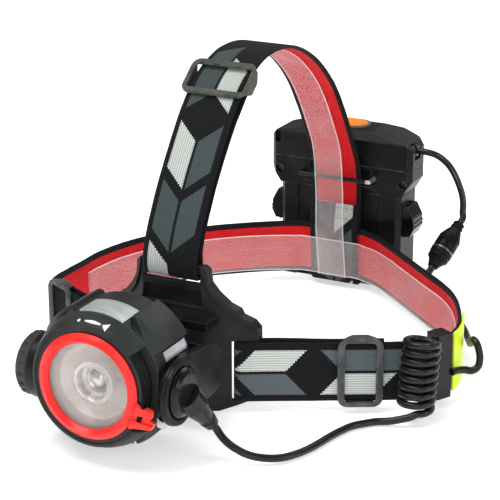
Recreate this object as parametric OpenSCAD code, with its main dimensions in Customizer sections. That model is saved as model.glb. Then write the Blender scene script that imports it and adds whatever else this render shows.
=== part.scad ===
// Headband cap lamp: a zooming lamp head on a forehead plate, a webbing
// headband and top strap, and a battery pack behind, joined by a curly lead.
// Millimetres. X is the wearer's left to right as seen from the front,
// the lamp looks along -Y, Z is up and the part stands on Z = 0.

/* [Webbing] */
// Width of the headband and top strap webbing
webbing_w = 25; // [20:0.5:28]
// Thickness of the webbing
webbing_t = 1.5; // [1.2:0.1:1.8]
// Width of the top strap's webbing
strap_w = 24; // [20:0.5:26]
// Height of the headband's lower edge above the ground
band_rise = 4.5; // [4.5:0.5:8]
// Reach of the headband loop towards -X
reach_left = 79; // [76:1:84]
// Reach of the headband loop towards +X
reach_right = 97; // [94:1:102]
// Distance from the lamp pivot line's datum back to the headband's rear run
back_y = 82; // [80:0.5:84]
// Width of the clear grip strip inside the headband
grip_w = 19; // [14:0.5:20]
// Width of the clear grip strip inside the top strap
top_grip_w = 14; // [10:0.5:18]
// Thickness of the grip strips
grip_t = 0.8; // [0.6:0.1:1.0]

/* [Buckles] */
// Length of a strap slider along the webbing
slider_l = 18; // [16:0.5:19]
// Thickness of one slider bar
slider_bar_t = 1.7; // [1.4:0.1:2]
// Width of one slider bar
slider_bar_w = 2.8; // [2.2:0.1:3.4]
// Depth of a slider rail beside the webbing
slider_rail = 1.8; // [1.4:0.1:2.4]

/* [Forehead plate] */
// Distance from the datum forward to the plate's front face
plate_front = 73; // [72:0.5:74]
// Thickness of the plate
plate_t = 3; // [2.5:0.1:3.5]
// Half width of the flat middle of the plate
plate_flat = 13; // [12:0.5:14]
// Length of each swept wing of the plate
wing_l = 22.5; // [22:0.5:24]
// Sweep of the wings
wing_angle = 28; // [26:1:30]
// Height of the plate
plate_h = 61; // [60:0.5:63]
// Height of the raised bead round the plate
bead_h = 1; // [0.6:0.1:1.4]
// Width of the raised bead
bead_w = 1.6; // [1.2:0.1:2.2]

/* [Yoke] */
// Distance from the datum forward to the tilt pivot
pivot_ahead = 120.4; // [119:0.2:122]
// Height of the tilt pivot above the ground
pivot_z = 30.4; // [30:0.2:31]
// Inner half width between the yoke arms
arm_in = 25.8; // [25.6:0.1:26.2]
// Thickness of a yoke arm
arm_t = 3.5; // [3:0.1:4]
// Radius of the round eye at the end of each arm
eye_r = 12.9; // [12:0.1:13.4]
// Radius of the pivot pins
pin_r = 5; // [4.5:0.1:5.4]
// Running clearance between pivot pin and eye
pin_clear = 0.06; // [0.03:0.01:0.09]

/* [Lamp head] */
// Height of the lamp's axis above the ground
lamp_z = 33; // [32.5:0.5:34]
// Radius of the lamp housing
housing_r = 26.6; // [26.2:0.1:27]
// Radius over the raised lugs of the housing
lug_r = 28.8; // [28.2:0.1:29.4]
// Inner radius of the housing
housing_bore = 22.6; // [22.4:0.1:22.8]
// Distance from the datum forward to the housing's front lip
housing_front = 136.3; // [136:0.1:136.6]
// Distance from the datum forward to the housing's rear face
housing_back = 99; // [98:0.5:100]
// Outer radius of the zoom ring's bezel
ring_r = 20.8; // [20.4:0.1:21.2]
// Radius of the clear opening in the zoom ring
aperture_r = 16.8; // [16:0.1:17]
// Thickness of the bezel ahead of the housing lip
ring_t = 2.2; // [1.8:0.1:2.6]
// Travel of the lens when it is zoomed
zoom_travel = 4; // [3:0.5:4]
// Radius of the brightness knob
knob_r = 12.4; // [11.5:0.1:13]
// Width of the brightness knob
knob_w = 5.6; // [5:0.2:7]
// Number of flutes round the brightness knob
knob_flutes = 20; // [14:1:24]

/* [Battery pack] */
// Distance from the datum back to the pack's front face
pack_front = 88.5; // [88:0.5:90]
// Depth of the pack
pack_depth = 27; // [26.5:0.5:29]
// Half width of the pack's hood
hood_half = 35.5; // [35:0.5:37]
// Half width of the cell case below the hood
case_half = 30.5; // [30:0.5:31.5]
// Height of the pack at its middle
pack_h = 74.4; // [74:0.2:76]
// Height of the seam between hood and cap
seam_z = 58; // [56:0.5:60]
// Wall of the pack's mouldings
pack_wall = 1.6; // [1.5:0.1:1.8]
// Radius of a cell
cell_r = 9; // [9:0.1:9.1]
// Length of a cell
cell_l = 65; // [64.5:0.1:65.2]
// Spacing of the cells
cell_pitch = 18.8; // [18.6:0.1:19]
// Half length of the push button along X
button_half = 8; // [7:0.5:9]
// Half width of the push button along Y
button_r = 5.5; // [4.5:0.5:6]
// Travel of the push button
button_travel = 1; // [0.6:0.1:1.2]

/* [Lead] */
// Diameter of the lead
lead_d = 3; // [2.8:0.1:3.2]
// Outer diameter of the curly part of the lead
coil_d = 15.4; // [14:0.2:16]
// Spacing of the curls
coil_pitch = 3.55; // [3.5:0.05:3.8]
// Number of curls
coil_turns = 8; // [6:1:8]
// Largest radius of the plug and socket
plug_r = 5; // [4.5:0.1:5.2]

/* [Hidden] */
$fn = 64;

seat = 0.3;
slip = 0.2;
band_z = band_rise + webbing_w / 2;
layer = webbing_t / 2 + seat;
pack_back = pack_front + pack_depth;
ring_face = housing_front + ring_t;
mid_x = (reach_right - reach_left + 0.9) / 2;
mid_y = (pack_back - ring_face) / 2;
// Height of the wire bar on the pack that the top strap passes behind
strap_bar_z = 52.6;

// ---------------------------------------------------------------- helpers

module piece(c) color(c) translate([-mid_x, -mid_y, 0]) children();

// Local z looks ahead (-Y), local y is up, from the lamp's axis
module on_lamp() translate([0, 0, lamp_z]) rotate([90, 0, 0]) children();

// Local z is +X, local y is +Y, local x is down, from the tilt pivot
module on_pivot() translate([0, -pivot_ahead, pivot_z]) rotate([0, 90, 0]) children();

// A drawing in the YZ plane made thick along X, centred
module along_x(w) rotate([90, 0, 90]) translate([0, 0, -w / 2]) linear_extrude(w) children();

// A drawing in the XZ plane made thick along Y from y0 to y1
module along_y(y0, y1) translate([0, y1, 0]) rotate([90, 0, 0]) linear_extrude(y1 - y0) children();

module tube(r_out, r_in, z0, z1) difference() {
    translate([0, 0, z0]) cylinder(r = r_out, h = z1 - z0);
    translate([0, 0, z0 - 1]) cylinder(r = r_in, h = z1 - z0 + 2);
}

// A revolved profile over the angles a0 to a1, counted from the top towards +X
module sweep_arc(a0, a1) rotate([0, 0, 90 - a1]) rotate_extrude(angle = a1 - a0) children();

module mirrored() {
    children();
    mirror([1, 0, 0]) children();
}

module stadium(half, r) {
    square([2 * (half - r), 2 * r], center = true);
    for (side = [-1, 1]) translate([side * (half - r), 0]) circle(r);
}

// Points of a smooth curve through a list of points, n steps to a stretch
function bend(p, n) = [
    for (i = [0 : len(p) - 2], k = [0 : n - 1])
        let (t = k / n, a = p[max(i - 1, 0)], b = p[i], c = p[i + 1], d = p[min(i + 2, len(p) - 1)])
        0.5 * (2 * b + (c - a) * t + (2 * a - 5 * b + 4 * c - d) * t * t
            + (3 * b - a - 3 * c + d) * t * t * t),
    p[len(p) - 1]
];
function unit(v) = v / norm(v);
function stretch(p, a, b) = [for (i = [a : b]) p[i]];
function heading(p, i) = unit(p[min(i + 1, len(p) - 1)] - p[max(i - 1, 0)]);
function beside(p, off) = [
    for (i = [0 : len(p) - 1]) let (h = heading(p, i)) p[i] + off * [h[1], -h[0]]
];

// A ribbon of thickness t drawn along a flat curve
module ribbon(p, t) polygon(concat(beside(p, t / 2), [
    for (i = [len(p) - 1 : -1 : 0]) beside(p, -t / 2)[i]
]));

// A round cord of diameter d swept along points in space
function frame_x(h) = unit(cross(h, abs(h[2]) < 0.9 ? [0, 0, 1] : [0, 1, 0]));
module cord(p, d, sides) {
    rings = [
        for (i = [0 : len(p) - 1], k = [0 : sides - 1])
            let (h = heading(p, i), u = frame_x(h), v = cross(h, u), a = 360 * k / sides)
            p[i] + d / 2 * (cos(a) * u + sin(a) * v)
    ];
    n = len(p);
    skin = [
        for (i = [0 : n - 2], k = [0 : sides - 1])
            let (a = i * sides + k, b = i * sides + (k + 1) % sides)
            each [[a, b, a + sides], [b, b + sides, a + sides]]
    ];
    ends = [
        for (k = [1 : sides - 2]) each [
            [0, k + 1, k],
            [(n - 1) * sides, (n - 1) * sides + k, (n - 1) * sides + k + 1]
        ]
    ];
    polyhedron(rings, concat(skin, ends));
}

// A turned piece standing on a with its axis towards b; the profile is [radius, distance] pairs
module turned(a, b, profile) {
    h = unit(b - a);
    translate(a) rotate([0, acos(h[2]), atan2(h[1], h[0])]) rotate_extrude() polygon(profile);
}

// ---------------------------------------------------------------- webbing

// The wing line, along which the band leaves the plate on either side
wing_dir = [cos(wing_angle), sin(wing_angle)];
wing_out = [sin(wing_angle), -cos(wing_angle)];
function on_wing(s, off) = [plate_flat, -plate_front] + s * wing_dir + off * wing_out;
function flip(p) = [for (i = [len(p) - 1 : -1 : 0]) [-p[i][0], p[i][1]]];

slot_in = 12;
slot_out = 16;
slider_at = 62.5;
slider_top = slider_bar_t + webbing_t / 2 + slip;
return_off = -(slider_top + layer);

// The webbing turns round a bar of the plate on this radius
wrap_r = plate_t / 2 + layer;

// The end that runs back from the slot to the slider, behind the outer layer
wing_return = concat([
    on_wing(slider_at + 9.5, layer + return_off),
    on_wing(slider_at, layer + return_off),
    on_wing(slider_at - 12, layer + return_off),
    on_wing(slot_out + 14, -plate_t - layer),
    on_wing(slot_out + 4, -plate_t - layer)
], [
    for (a = [-90 : -45 : -270]) on_wing(slot_out + wrap_r * cos(a), -plate_t / 2 + wrap_r * sin(a))
], [
    on_wing(slot_out + 4, layer),
    on_wing(slot_out + 20, layer),
    on_wing(slider_at - 14, layer),
    on_wing(slider_at, layer),
    on_wing(slider_at + 9, layer)
]);
band_right = [
    [reach_right - 8.6, -32.8], [reach_right - 2, -25], [reach_right - 0.3, -16], [reach_right - 2, -5],
    [reach_right - 7, 8], [reach_right - 14, 21], [74, 32], [63, 42], [50, 54], [37, 66]
];
band_rear = [[26, back_y - 6.4], [17.5, back_y - 1.2], [13.5, back_y - 0.1], [0, back_y], [-13.5, back_y - 0.1],
    [-17.5, back_y - 1.2], [-26, back_y - 6.4]];
band_left = [
    [-39, 66], [-52, 54], [-62, 41], [3 - reach_left + 5, 27], [3 - reach_left, 14],
    [0.5 - reach_left, 0], [0.2 - reach_left, -13], [-reach_left, -23],
    [-reach_left - 0.1, -30], [0.1 - reach_left, -34.8], [0.9 - reach_left, -38.1]
];
tag_from = 50;
tag_to = 56;
band_path = bend(concat(wing_return, band_right, band_rear, band_left, flip(wing_return)), 3);

module headband() piece([0.13, 0.14, 0.15])
    translate([0, 0, band_rise]) linear_extrude(webbing_w) ribbon(band_path, webbing_t);

// The strip lies inside the loop and steps over the top strap's end at the back
grip_off = webbing_t / 2 + seat + grip_t / 2;
grip_step = webbing_t + seat;
grip_right = [[reach_right - 0.9, -12], [reach_right - 3, -3], [reach_right - 7, 8], [reach_right - 14, 21],
    [74, 32], [63, 42], [50, 54], [37, 66], [26, back_y - 7.4]];
grip_rear = [[18, back_y - 1.8 - grip_step], [13.5, back_y - 0.1 - grip_step], [0, back_y - grip_step],
    [-13.5, back_y - 0.1 - grip_step], [-18, back_y - 1.8 - grip_step]];
grip_left = [[-26, back_y - 7.4], [-39, 66], [-52, 54], [-62, 41], [3 - reach_left + 5, 27],
    [3 - reach_left, 14], [0.5 - reach_left, 0], [0.2 - reach_left, -10]];
grip_path = beside(bend(concat(grip_right, grip_rear, grip_left), 3), -grip_off);

module headband_grip() piece([0.85, 0.8, 0.8])
    translate([0, 0, band_z - grip_w / 2]) linear_extrude(grip_w) ribbon(grip_path, grip_t);

// The top strap, drawn in the YZ plane from its end at the front slider, down behind the
// plate's bar, up and over the head, behind the pack's bar and round the headband
bar_z = plate_h - 3.2;
front_y = -plate_front;
strap_mid = [
    [-72.3, 66.5], [-66, 78], [-57, 91], [-47, 103.3], [-37, 114], [-26, 122.8], [-12, 128.6], [2, 130.4],
    [18, 128.4], [34, 122.2], [48, 113], [60, 101.5], [70, 87], [78.6, 71.5]
];
strap_inner = concat([
    [-17, 122.6], [-24, 119.7], [-34.3, 111.2], [-44.6, 100.9], [-54.8, 88.8], [-63.6, 76], [-68.4, 67],
    [front_y + plate_t + layer, bar_z + 3.5]
], [
    for (a = [0 : -45 : -180]) [front_y + plate_t / 2 + wrap_r * cos(a), bar_z + wrap_r * sin(a)]
], [[front_y - layer, bar_z + 3.5]]);
fold_r = webbing_t + seat;
hang_y = back_y + fold_r;
turn_y = back_y - fold_r;
strap_rear = concat([
    [84.2, 60], [pack_front - 3.2, 50], [hang_y + 0.8, 40], [hang_y, band_rise + webbing_w + 1],
    [hang_y, band_rise + 10], [hang_y, band_rise + 3]
], [
    for (a = [0 : -45 : -180]) [back_y + fold_r * cos(a), band_rise + fold_r * sin(a)]
], [
    [turn_y, band_rise + 3], [turn_y, band_rise + 10], [turn_y, band_rise + webbing_w + 1],
    [hang_y - 2.2, band_rise + webbing_w + 7], [hang_y - 1.4, band_rise + webbing_w + 11]
]);
strap_path = bend(concat(strap_inner, strap_mid, strap_rear), 3);

// The strap stands a little out of true: it moves sideways with height
strap_lean = -0.035;
module leaning() multmatrix([[1, 0, strap_lean, -strap_lean * bar_z], [0, 1, 0, 0], [0, 0, 1, 0], [0, 0, 0, 1]])
    children();

module top_strap() piece([0.13, 0.14, 0.15])
    leaning() along_x(strap_w) ribbon(strap_path, webbing_t);

top_grip_x = -2.2;
// It runs on in front of the pack's bar, the strap's sewn end and the headband's own strip
top_grip_path = concat(
    stretch(beside(bend([
        [2, 130.4], [18, 128.4], [34, 122.2], [48, 113], [60, 101.5], [70, 87], [78.6, 71.5], [84.2, 60]
    ], 3), grip_off), 0, 18),
    stretch(bend([
        [70, 87], [77.2, 70.8], [79.7, 61], [80.2, strap_bar_z], [80, 46], [79.2, 39.5], [78.1, 32.5], [77.5, 26],
        [77.4, 17], [77.4, band_rise + 1.5]
    ], 3), 4, 27)
);
module top_strap_grip() piece([0.85, 0.8, 0.8])
    leaning() translate([top_grip_x, 0, 0]) along_x(top_grip_w) ribbon(top_grip_path, grip_t);

// The outline of a rectangle with rounded corners
function rounded(l, w, r) = [
    for (q = [[1, 1, 0], [-1, 1, 90], [-1, -1, 180], [1, -1, 270]], k = [0 : corner_steps])
        let (a = q[2] + 90 * k / corner_steps) [q[0] * (l / 2 - r) + r * cos(a), q[1] * (w / 2 - r) + r * sin(a)]
];
corner_steps = 5;
slider_round = 4;
slider_edge = 0.45;
slider_w = webbing_w + 2 * (slip + slider_rail);
module slider_ring(inset, z0, z1) translate([0, 0, z0]) linear_extrude(z1 - z0) difference() {
    polygon(rounded(slider_l - 2 * inset, slider_w - 2 * inset, slider_round - inset));
    polygon(rounded(slider_l - 2 * (slider_bar_w - inset), webbing_w + 2 * (slip + inset), slider_round / 3 + inset));
}
// A three-bar slider: local x runs along the webbing, y across it, z out from it
module slider() {
    half = webbing_w / 2 + slip;
    foot = webbing_t / 2 + slip;
    rail_reach = slider_l / 2 - slider_round + 1.2;
    // front ring with eased edges
    slider_ring(slider_edge, foot, foot + slider_edge + 0.01);
    slider_ring(0, foot + slider_edge, slider_top - slider_edge);
    slider_ring(slider_edge, slider_top - slider_edge - 0.01, slider_top);
    // side rails that carry the middle bar behind the webbing
    for (side = [-1, 1]) translate([0, side * (half + slider_rail / 2), 0]) rotate([90, 0, 0])
        translate([0, 0, -slider_rail / 2]) linear_extrude(slider_rail) polygon([
            [-rail_reach, foot + slider_edge + 0.1], [-rail_reach, foot - 0.5], [-4, 0.9 - slider_top],
            [-3, -slider_top], [3, -slider_top], [4, 0.9 - slider_top], [rail_reach, foot - 0.5],
            [rail_reach, foot + slider_edge + 0.1]
        ]);
    translate([-slider_bar_w / 2, -half - 0.2, -slider_top]) cube([slider_bar_w, 2 * half + 0.4, slider_bar_t]);
}
module slider_right() piece([0.3, 0.32, 0.33])
    translate([on_wing(slider_at, layer)[0], on_wing(slider_at, layer)[1], band_z])
        rotate([0, 0, wing_angle]) rotate([90, 0, 0]) slider();
module slider_left() piece([0.3, 0.32, 0.33])
    translate([-on_wing(slider_at, layer)[0], on_wing(slider_at, layer)[1], band_z])
        rotate([0, 0, -wing_angle]) rotate([90, 0, 0]) slider();
module slider_top_piece() piece([0.3, 0.32, 0.33])
    leaning() translate([0, -26.5, 122.4]) rotate([35.5, 0, 0]) rotate([0, 0, 90]) slider();

// ---------------------------------------------------------------- forehead plate

wing_tip = on_wing(wing_l, 0)[0];
foot_half = 19;
arm_half = webbing_w / 2 + 3;
module plate_half_outline(inset) {
    polygon([
        [0, inset], [foot_half - inset / 2, inset], [foot_half + 7, 2.6 + inset], [wing_tip - 2.5, 4.6 + inset],
        [wing_tip - inset, 7 + inset], [wing_tip - inset, 35 - inset], [wing_tip - 2, 38 - inset],
        [wing_tip - 6, 40.5 - inset], [26 - inset / 2, 42.8 - inset], [22.5 - inset, 45.2 - inset],
        [18.5 - inset, 50 - inset], [arm_half + 0.6 - inset, 54], [arm_half - inset, plate_h - 1.5 - inset],
        [arm_half - 1.5 - inset, plate_h - inset], [0, plate_h - inset]
    ]);
}
module plate_outline(inset) {
    plate_half_outline(inset);
    mirror([1, 0]) plate_half_outline(inset);
}
// The bent strip that the plate is cut from, seen from above, between two offsets from its front
module plate_plan(front, back) {
    polygon([
        [0, -plate_front - front], [plate_flat, -plate_front - front], on_wing(wing_l + 4, front),
        on_wing(wing_l + 4, back), [plate_flat, -plate_front - back], [0, -plate_front - back]
    ]);
}
module plate_strip(front, back) linear_extrude(plate_h + 2) {
    plate_plan(front, back);
    mirror([1, 0]) plate_plan(front, back);
}
module plate_slots() {
    mirrored() linear_extrude(band_rise + webbing_w + slip, convexity = 4)
        polygon([on_wing(slot_in, 5), on_wing(slot_out, 5), on_wing(slot_out, -8), on_wing(slot_in, -8)]);
}
module base_plate() piece([0.1, 0.11, 0.11]) difference() {
    union() {
        intersection() {
            along_y(-plate_front - 8, -plate_front + 30) plate_outline(0);
            plate_strip(0, -plate_t);
        }
        intersection() {
            along_y(-plate_front - 8, -plate_front + 30) difference() {
                plate_outline(0);
                plate_outline(bead_w);
                translate([-wing_tip - 1, 0]) square([wing_tip + 1 - slot_out, 34]);
                translate([slot_out, 0]) square([wing_tip + 1 - slot_out, 34]);
                translate([-webbing_w / 2 - 0.8, 50]) square([webbing_w + 1.6, 20]);
            }
            plate_strip(bead_h, -1);
        }
    }
    // webbing slots in the wings
    intersection() {
        plate_slots();
        translate([-60, -100, band_rise - slip]) cube([120, 60, webbing_w + 2 * slip]);
    }
    // strap slot below the top bar
    along_y(-plate_front - 5, -plate_front + 8)
        translate([-webbing_w / 2 - slip, bar_z - 4.6]) square([webbing_w + 2 * slip, 4.6]);
    // long shallow pocket under the strap slot
    along_y(-plate_front - 5, -plate_front + 1.6)
        polygon([[-13.5, 43.8], [13.5, 43.8], [12.8, 50.6], [-12, 50.6]]);
    // screw holes for the yoke
    for (x = [-9, 9], z = [24, 36]) translate([x, -plate_front - 5, z]) rotate([-90, 0, 0]) cylinder(r = 1.3, h = 20);
}

pad_t = 4;
module forehead_pad() piece([0.16, 0.16, 0.17]) intersection() {
    along_y(-plate_front, -plate_front + 20) difference() {
        polygon([[-19, 3], [19, 3], [20.5, 8], [20.5, 36], [16, 46], [12, 50], [-12, 50], [-16, 46], [-20.5, 36],
            [-20.5, 8]]);
        for (x = [-9, 9], z = [24, 36]) translate([x, z]) circle(2.8);
    }
    plate_strip(-plate_t - 0.05, -plate_t - pad_t);
}

// ---------------------------------------------------------------- yoke

wall_ahead = 88.4;
tab_reach = 28.3;
wall_t = 3;
ledge_half = 21;
module yoke_arm_side() {
    // drawn in the YZ plane
    difference() {
        union() {
            translate([-pivot_ahead, pivot_z]) circle(eye_r);
            polygon([
                [-pivot_ahead - 1, pivot_z + eye_r - 0.1], [-wall_ahead - 7, 40], [-wall_ahead - 3, 38.6],
                [-wall_ahead, 35.6], [-wall_ahead, 21], [-wall_ahead - 4, 19.5], [-pivot_ahead, pivot_z - eye_r]
            ]);
        }
        translate([-pivot_ahead, pivot_z]) circle(pin_r + pin_clear);
    }
}
module yoke() piece([0.11, 0.12, 0.12]) {
    difference() {
        union() {
            mirrored() translate([arm_in + arm_t / 2, 0, 0]) along_x(arm_t) yoke_arm_side();
            // cross wall between the arms
            difference() {
                translate([-arm_in, -wall_ahead - wall_t, 21]) cube([2 * arm_in, wall_t, 16]);
                for (x = [-17, 17]) translate([x, -wall_ahead + 1, 29]) rotate([90, 0, 0]) cylinder(r = 4, h = wall_t + 2);
            }
            // block that carries the wall on the plate
            translate([-14, -wall_ahead, 19]) cube([28, wall_ahead - plate_front, 20]);
            // ledge over the block
            translate([-ledge_half, -plate_front - 11, 39]) cube([2 * ledge_half, 11, 3.4]);
            // raised rim round the right eye
            on_pivot() tube(eye_r - 0.4, eye_r - 2.6, arm_in + arm_t, arm_in + arm_t + 1.2);
        }
        for (x = [-9, 9], z = [24, 36]) translate([x, -plate_front - 7, z]) rotate([-90, 0, 0]) cylinder(r = 1.1, h = 8);
        // relief round the right pin, where the zoom ring's tab sweeps past
        on_pivot() intersection() {
            tube(eye_r + 4, pin_r + 5.1, arm_in - 0.5, tab_reach);
            translate([-eye_r - 4, -eye_r - 5, 0]) cube([2 * eye_r + 8, eye_r + 9, 40]);
        }
        // hollow in the block, open towards the ground
        translate([-5, -wall_ahead + 3, 18]) cube([10, wall_ahead - plate_front - 5, 16]);
    }
}
module yoke_screws() piece([0.6, 0.6, 0.62])
    for (x = [-9, 9], z = [24, 36]) translate([x, -plate_front + plate_t + 0.02, z]) rotate([90, 0, 0]) {
        cylinder(r = 1.05, h = plate_t + 6);
        translate([0, 0, -1.4]) difference() {
            cylinder(r = 2.4, h = 1.4);
            translate([0, 0, -1]) cylinder(r = 0.9, h = 1.7, $fn = 6);
        }
    }

// Moulded strain relief on the right arm: a disc over the eye and a tapered spout
boot_root = [arm_in + arm_t + 2.4, -pivot_ahead + 0.8, pivot_z - 1.5];
boot_end = [36.9, -109.6, 14.6];
module cable_boot() piece([0.12, 0.12, 0.13]) union() {
    on_pivot() translate([0, 0, arm_in + arm_t + 0.05]) rotate_extrude() polygon([
        [0, 0], [9.6, 0], [9.6, 1.6], [8.9, 2.6], [7.4, 3.5], [0, 3.5]
    ]);
    difference() {
        turned(boot_root, boot_end, [
            [0, 0], [5.6, 0], [5.2, 6], [3.4, norm(boot_end - boot_root) - 5], [3.4, norm(boot_end - boot_root) - 4],
            [2.9, norm(boot_end - boot_root) - 4], [2.9, norm(boot_end - boot_root) - 3], [3.3, norm(boot_end - boot_root) - 3],
            [2.8, norm(boot_end - boot_root)], [0, norm(boot_end - boot_root)]
        ]);
        translate([arm_in - 10, -pivot_ahead - 20, pivot_z - 20]) cube([arm_t + 10.1, 40, 40]);
        on_pivot() tube(eye_r - 0.3, eye_r - 2.7, arm_in, arm_in + arm_t + 1.3);
    }
}

// ---------------------------------------------------------------- lamp head

flat_x = arm_in - 0.7;
window_from = 50;
window_to = 128;
window_back = 128.6;
module flats(z0, z1) for (side = [-1, 1])
    translate([side > 0 ? flat_x : -flat_x - 10, -40, z0]) cube([10, 80, z1 - z0]);
module pin_holes() translate([0, 0, pivot_ahead]) translate([0, pivot_z - lamp_z, 0]) rotate([0, 90, 0])
    translate([0, 0, -40]) cylinder(r = pin_r, h = 80);

module lamp_housing() piece([0.22, 0.24, 0.23]) on_lamp() difference() {
    union() {
        rotate_extrude() polygon([
            [housing_bore, housing_back + 3], [housing_bore + 1.4, housing_back + 3], [housing_r - 2.6, housing_back + 3],
            [housing_r - 1, housing_back + 5], [housing_r, housing_back + 7.5], [housing_r, housing_front - 6.5],
            [housing_r - 0.8, housing_front - 4], [housing_bore + 1.6, housing_front - 0.5],
            [housing_bore + 0.8, housing_front], [housing_bore, housing_front]
        ]);
        // four raised lugs, two above and two below the yoke
        for (mid = [43, -43, 137, -137]) sweep_arc(mid - 17, mid + 17) polygon([
            [housing_r - 2, housing_back + 4.5], [lug_r - 1.4, housing_back + 5], [lug_r, housing_back + 7],
            [lug_r, housing_front - 12.5], [housing_r - 0.5, housing_front - 7.5], [housing_r - 2, housing_front - 7.5]
        ]);
    }
    flats(90, 140);
    // three-cornered pocket at the front of each lug
    for (a = [31, -31, 149, -149]) rotate([0, 0, -a]) translate([0, housing_r + 0.2, 0]) rotate([-90, 0, 0])
        translate([0, 0, -1.6]) linear_extrude(6) polygon([
            [-sign(a) * (abs(a) < 90 ? 1 : -1) * 6, -housing_front + 14.5],
            [sign(a) * (abs(a) < 90 ? 1 : -1) * 8, -housing_front + 8],
            [sign(a) * (abs(a) < 90 ? 1 : -1) * 1, -housing_front + 7.8]
        ]);
    // window for the zoom ring's finger tab
    sweep_arc(window_from, window_to) translate([housing_bore - 1, window_back]) square([12, 12]);
    pin_holes();
}

module top_inlay() piece([0.62, 0.64, 0.63]) on_lamp()
    sweep_arc(-15, 25) polygon([
        [housing_r + 0.05, housing_back + 18], [housing_r + 0.75, housing_back + 18.4],
        [housing_r + 0.75, housing_front - 7.4], [housing_r + 0.05, housing_front - 7]
    ]);

module side_inlays() piece([0.62, 0.63, 0.66]) {
    on_lamp() difference() {
        for (a = [62, -78]) sweep_arc(a, a + 16) polygon([
            [housing_r + 0.05, housing_back + 8], [housing_r + 0.6, housing_back + 8],
            [housing_r + 0.6, housing_front - 14], [housing_r + 0.05, housing_front - 14]
        ]);
        flats(90, 140);
    }
    for (side = [-1, 1]) intersection() {
        on_pivot() tube(eye_r + 1.6, eye_r - 0.8, side > 0 ? flat_x + 0.03 : -flat_x - 0.35,
            side > 0 ? flat_x + 0.35 : -flat_x - 0.03);
        translate([-60, -pivot_ahead - 9.6, pivot_z - 20]) cube([120, 9.6, 21]);
    }
}

barrel_clear = 0.1;
module guide_barrel() piece([0.12, 0.13, 0.13]) on_lamp() difference() {
    tube(housing_bore - 0.05, ring_r - barrel_clear, 110, housing_front - 0.3);
    for (z = [window_back + 1.6, window_back + 3.6]) tube(housing_bore + 1, housing_bore - 0.5, z, z + 0.8);
    // straight guide slots for the lens carrier's lugs
    for (a = cam_starts) rotate([0, 0, a]) translate([ring_r - 3, -0.8, cam_low + 0.6])
        cube([6, 1.6, zoom_travel + 2]);
    pin_holes();
}

module rear_cover() piece([0.2, 0.21, 0.2]) on_lamp() difference() {
    rotate_extrude() polygon([
        [0, housing_back - 1.6], [17, housing_back - 1.6], [20.5, housing_back - 0.6], [22.6, housing_back + 1.2],
        [23.4, housing_back + 2.95], [housing_bore - 0.1, housing_back + 2.95], [housing_bore - 0.1, housing_back + 5],
        [housing_bore - 1.6, housing_back + 5], [housing_bore - 1.6, housing_back + 0.6], [0, housing_back + 0.6]
    ]);
    for (a = [30, 150, 270]) rotate([0, 0, a]) translate([18.4, 0, 0]) {
        translate([0, 0, housing_back - 3]) cylinder(r = 2.2, h = 2.2);
        translate([0, 0, housing_back - 3]) cylinder(r = 1.1, h = 8);
    }
    for (k = [-2 : 2]) translate([-9, k * 4 - 0.8, housing_back - 3]) cube([18, 1.6, 2]);
}
module rear_screws() piece([0.6, 0.6, 0.62]) on_lamp()
    for (a = [30, 150, 270]) rotate([0, 0, a]) translate([18.4, 0, 0]) difference() {
        union() {
            translate([0, 0, housing_back - 1.5]) cylinder(r = 2, h = 0.65);
            translate([0, 0, housing_back - 1]) cylinder(r = 1.05, h = 4.2);
        }
        translate([0, 0, housing_back - 3]) cylinder(r = 0.8, h = 1.9, $fn = 6);
    }

pin_out = arm_in + arm_t - 0.1;
module pivot_pins() piece([0.45, 0.45, 0.47]) on_pivot() for (side = [-1, 1])
    difference() {
        translate([0, 0, side > 0 ? ring_r + 1.5 : -pin_out]) cylinder(r = pin_r - 0.02, h = pin_out - ring_r - 1.5);
        translate([0, 0, side * 25 - 8]) cylinder(r = 3, h = 16);
    }

sink_z = 106;
module heat_sink() piece([0.7, 0.71, 0.72]) on_lamp() {
    translate([0, 0, sink_z]) cylinder(r = ring_r - 0.3, h = 3);
    difference() {
        translate([0, 0, sink_z + 2]) cylinder(r = 14, h = 7.4);
        for (a = [0 : 30 : 150]) rotate([0, 0, a]) translate([-20, -0.8, sink_z + 3.6]) cube([40, 1.6, 3.8]);
    }
}
module led_board() piece([0.85, 0.86, 0.88]) on_lamp() translate([0, 0, sink_z + 9.45]) difference() {
    cylinder(r = 10, h = 1.5);
    for (a = [0 : 60 : 300]) rotate([0, 0, a]) translate([10.4, 0, -1]) cylinder(r = 1.7, h = 4);
}
module led_emitter() piece([0.95, 0.85, 0.3]) on_lamp() translate([0, 0, sink_z + 11]) {
    translate([-2.5, -2.5, 0]) cube([5, 5, 0.9]);
    intersection() {
        translate([0, 0, 0.9]) sphere(r = 2);
        translate([-3, -3, 0.8]) cube([6, 6, 3]);
    }
}
module driver_board() piece([0.1, 0.35, 0.2]) on_lamp() {
    translate([0, 0, housing_back + 3.6]) cylinder(r = 19.5, h = 1.4);
    translate([-6, -9, housing_back + 5]) cube([7, 7, 1.2]);
    translate([5, 2, housing_back + 5]) cylinder(r = 2.4, h = 1.6);
}

// ---------------------------------------------------------------- zoom ring and lens

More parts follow.
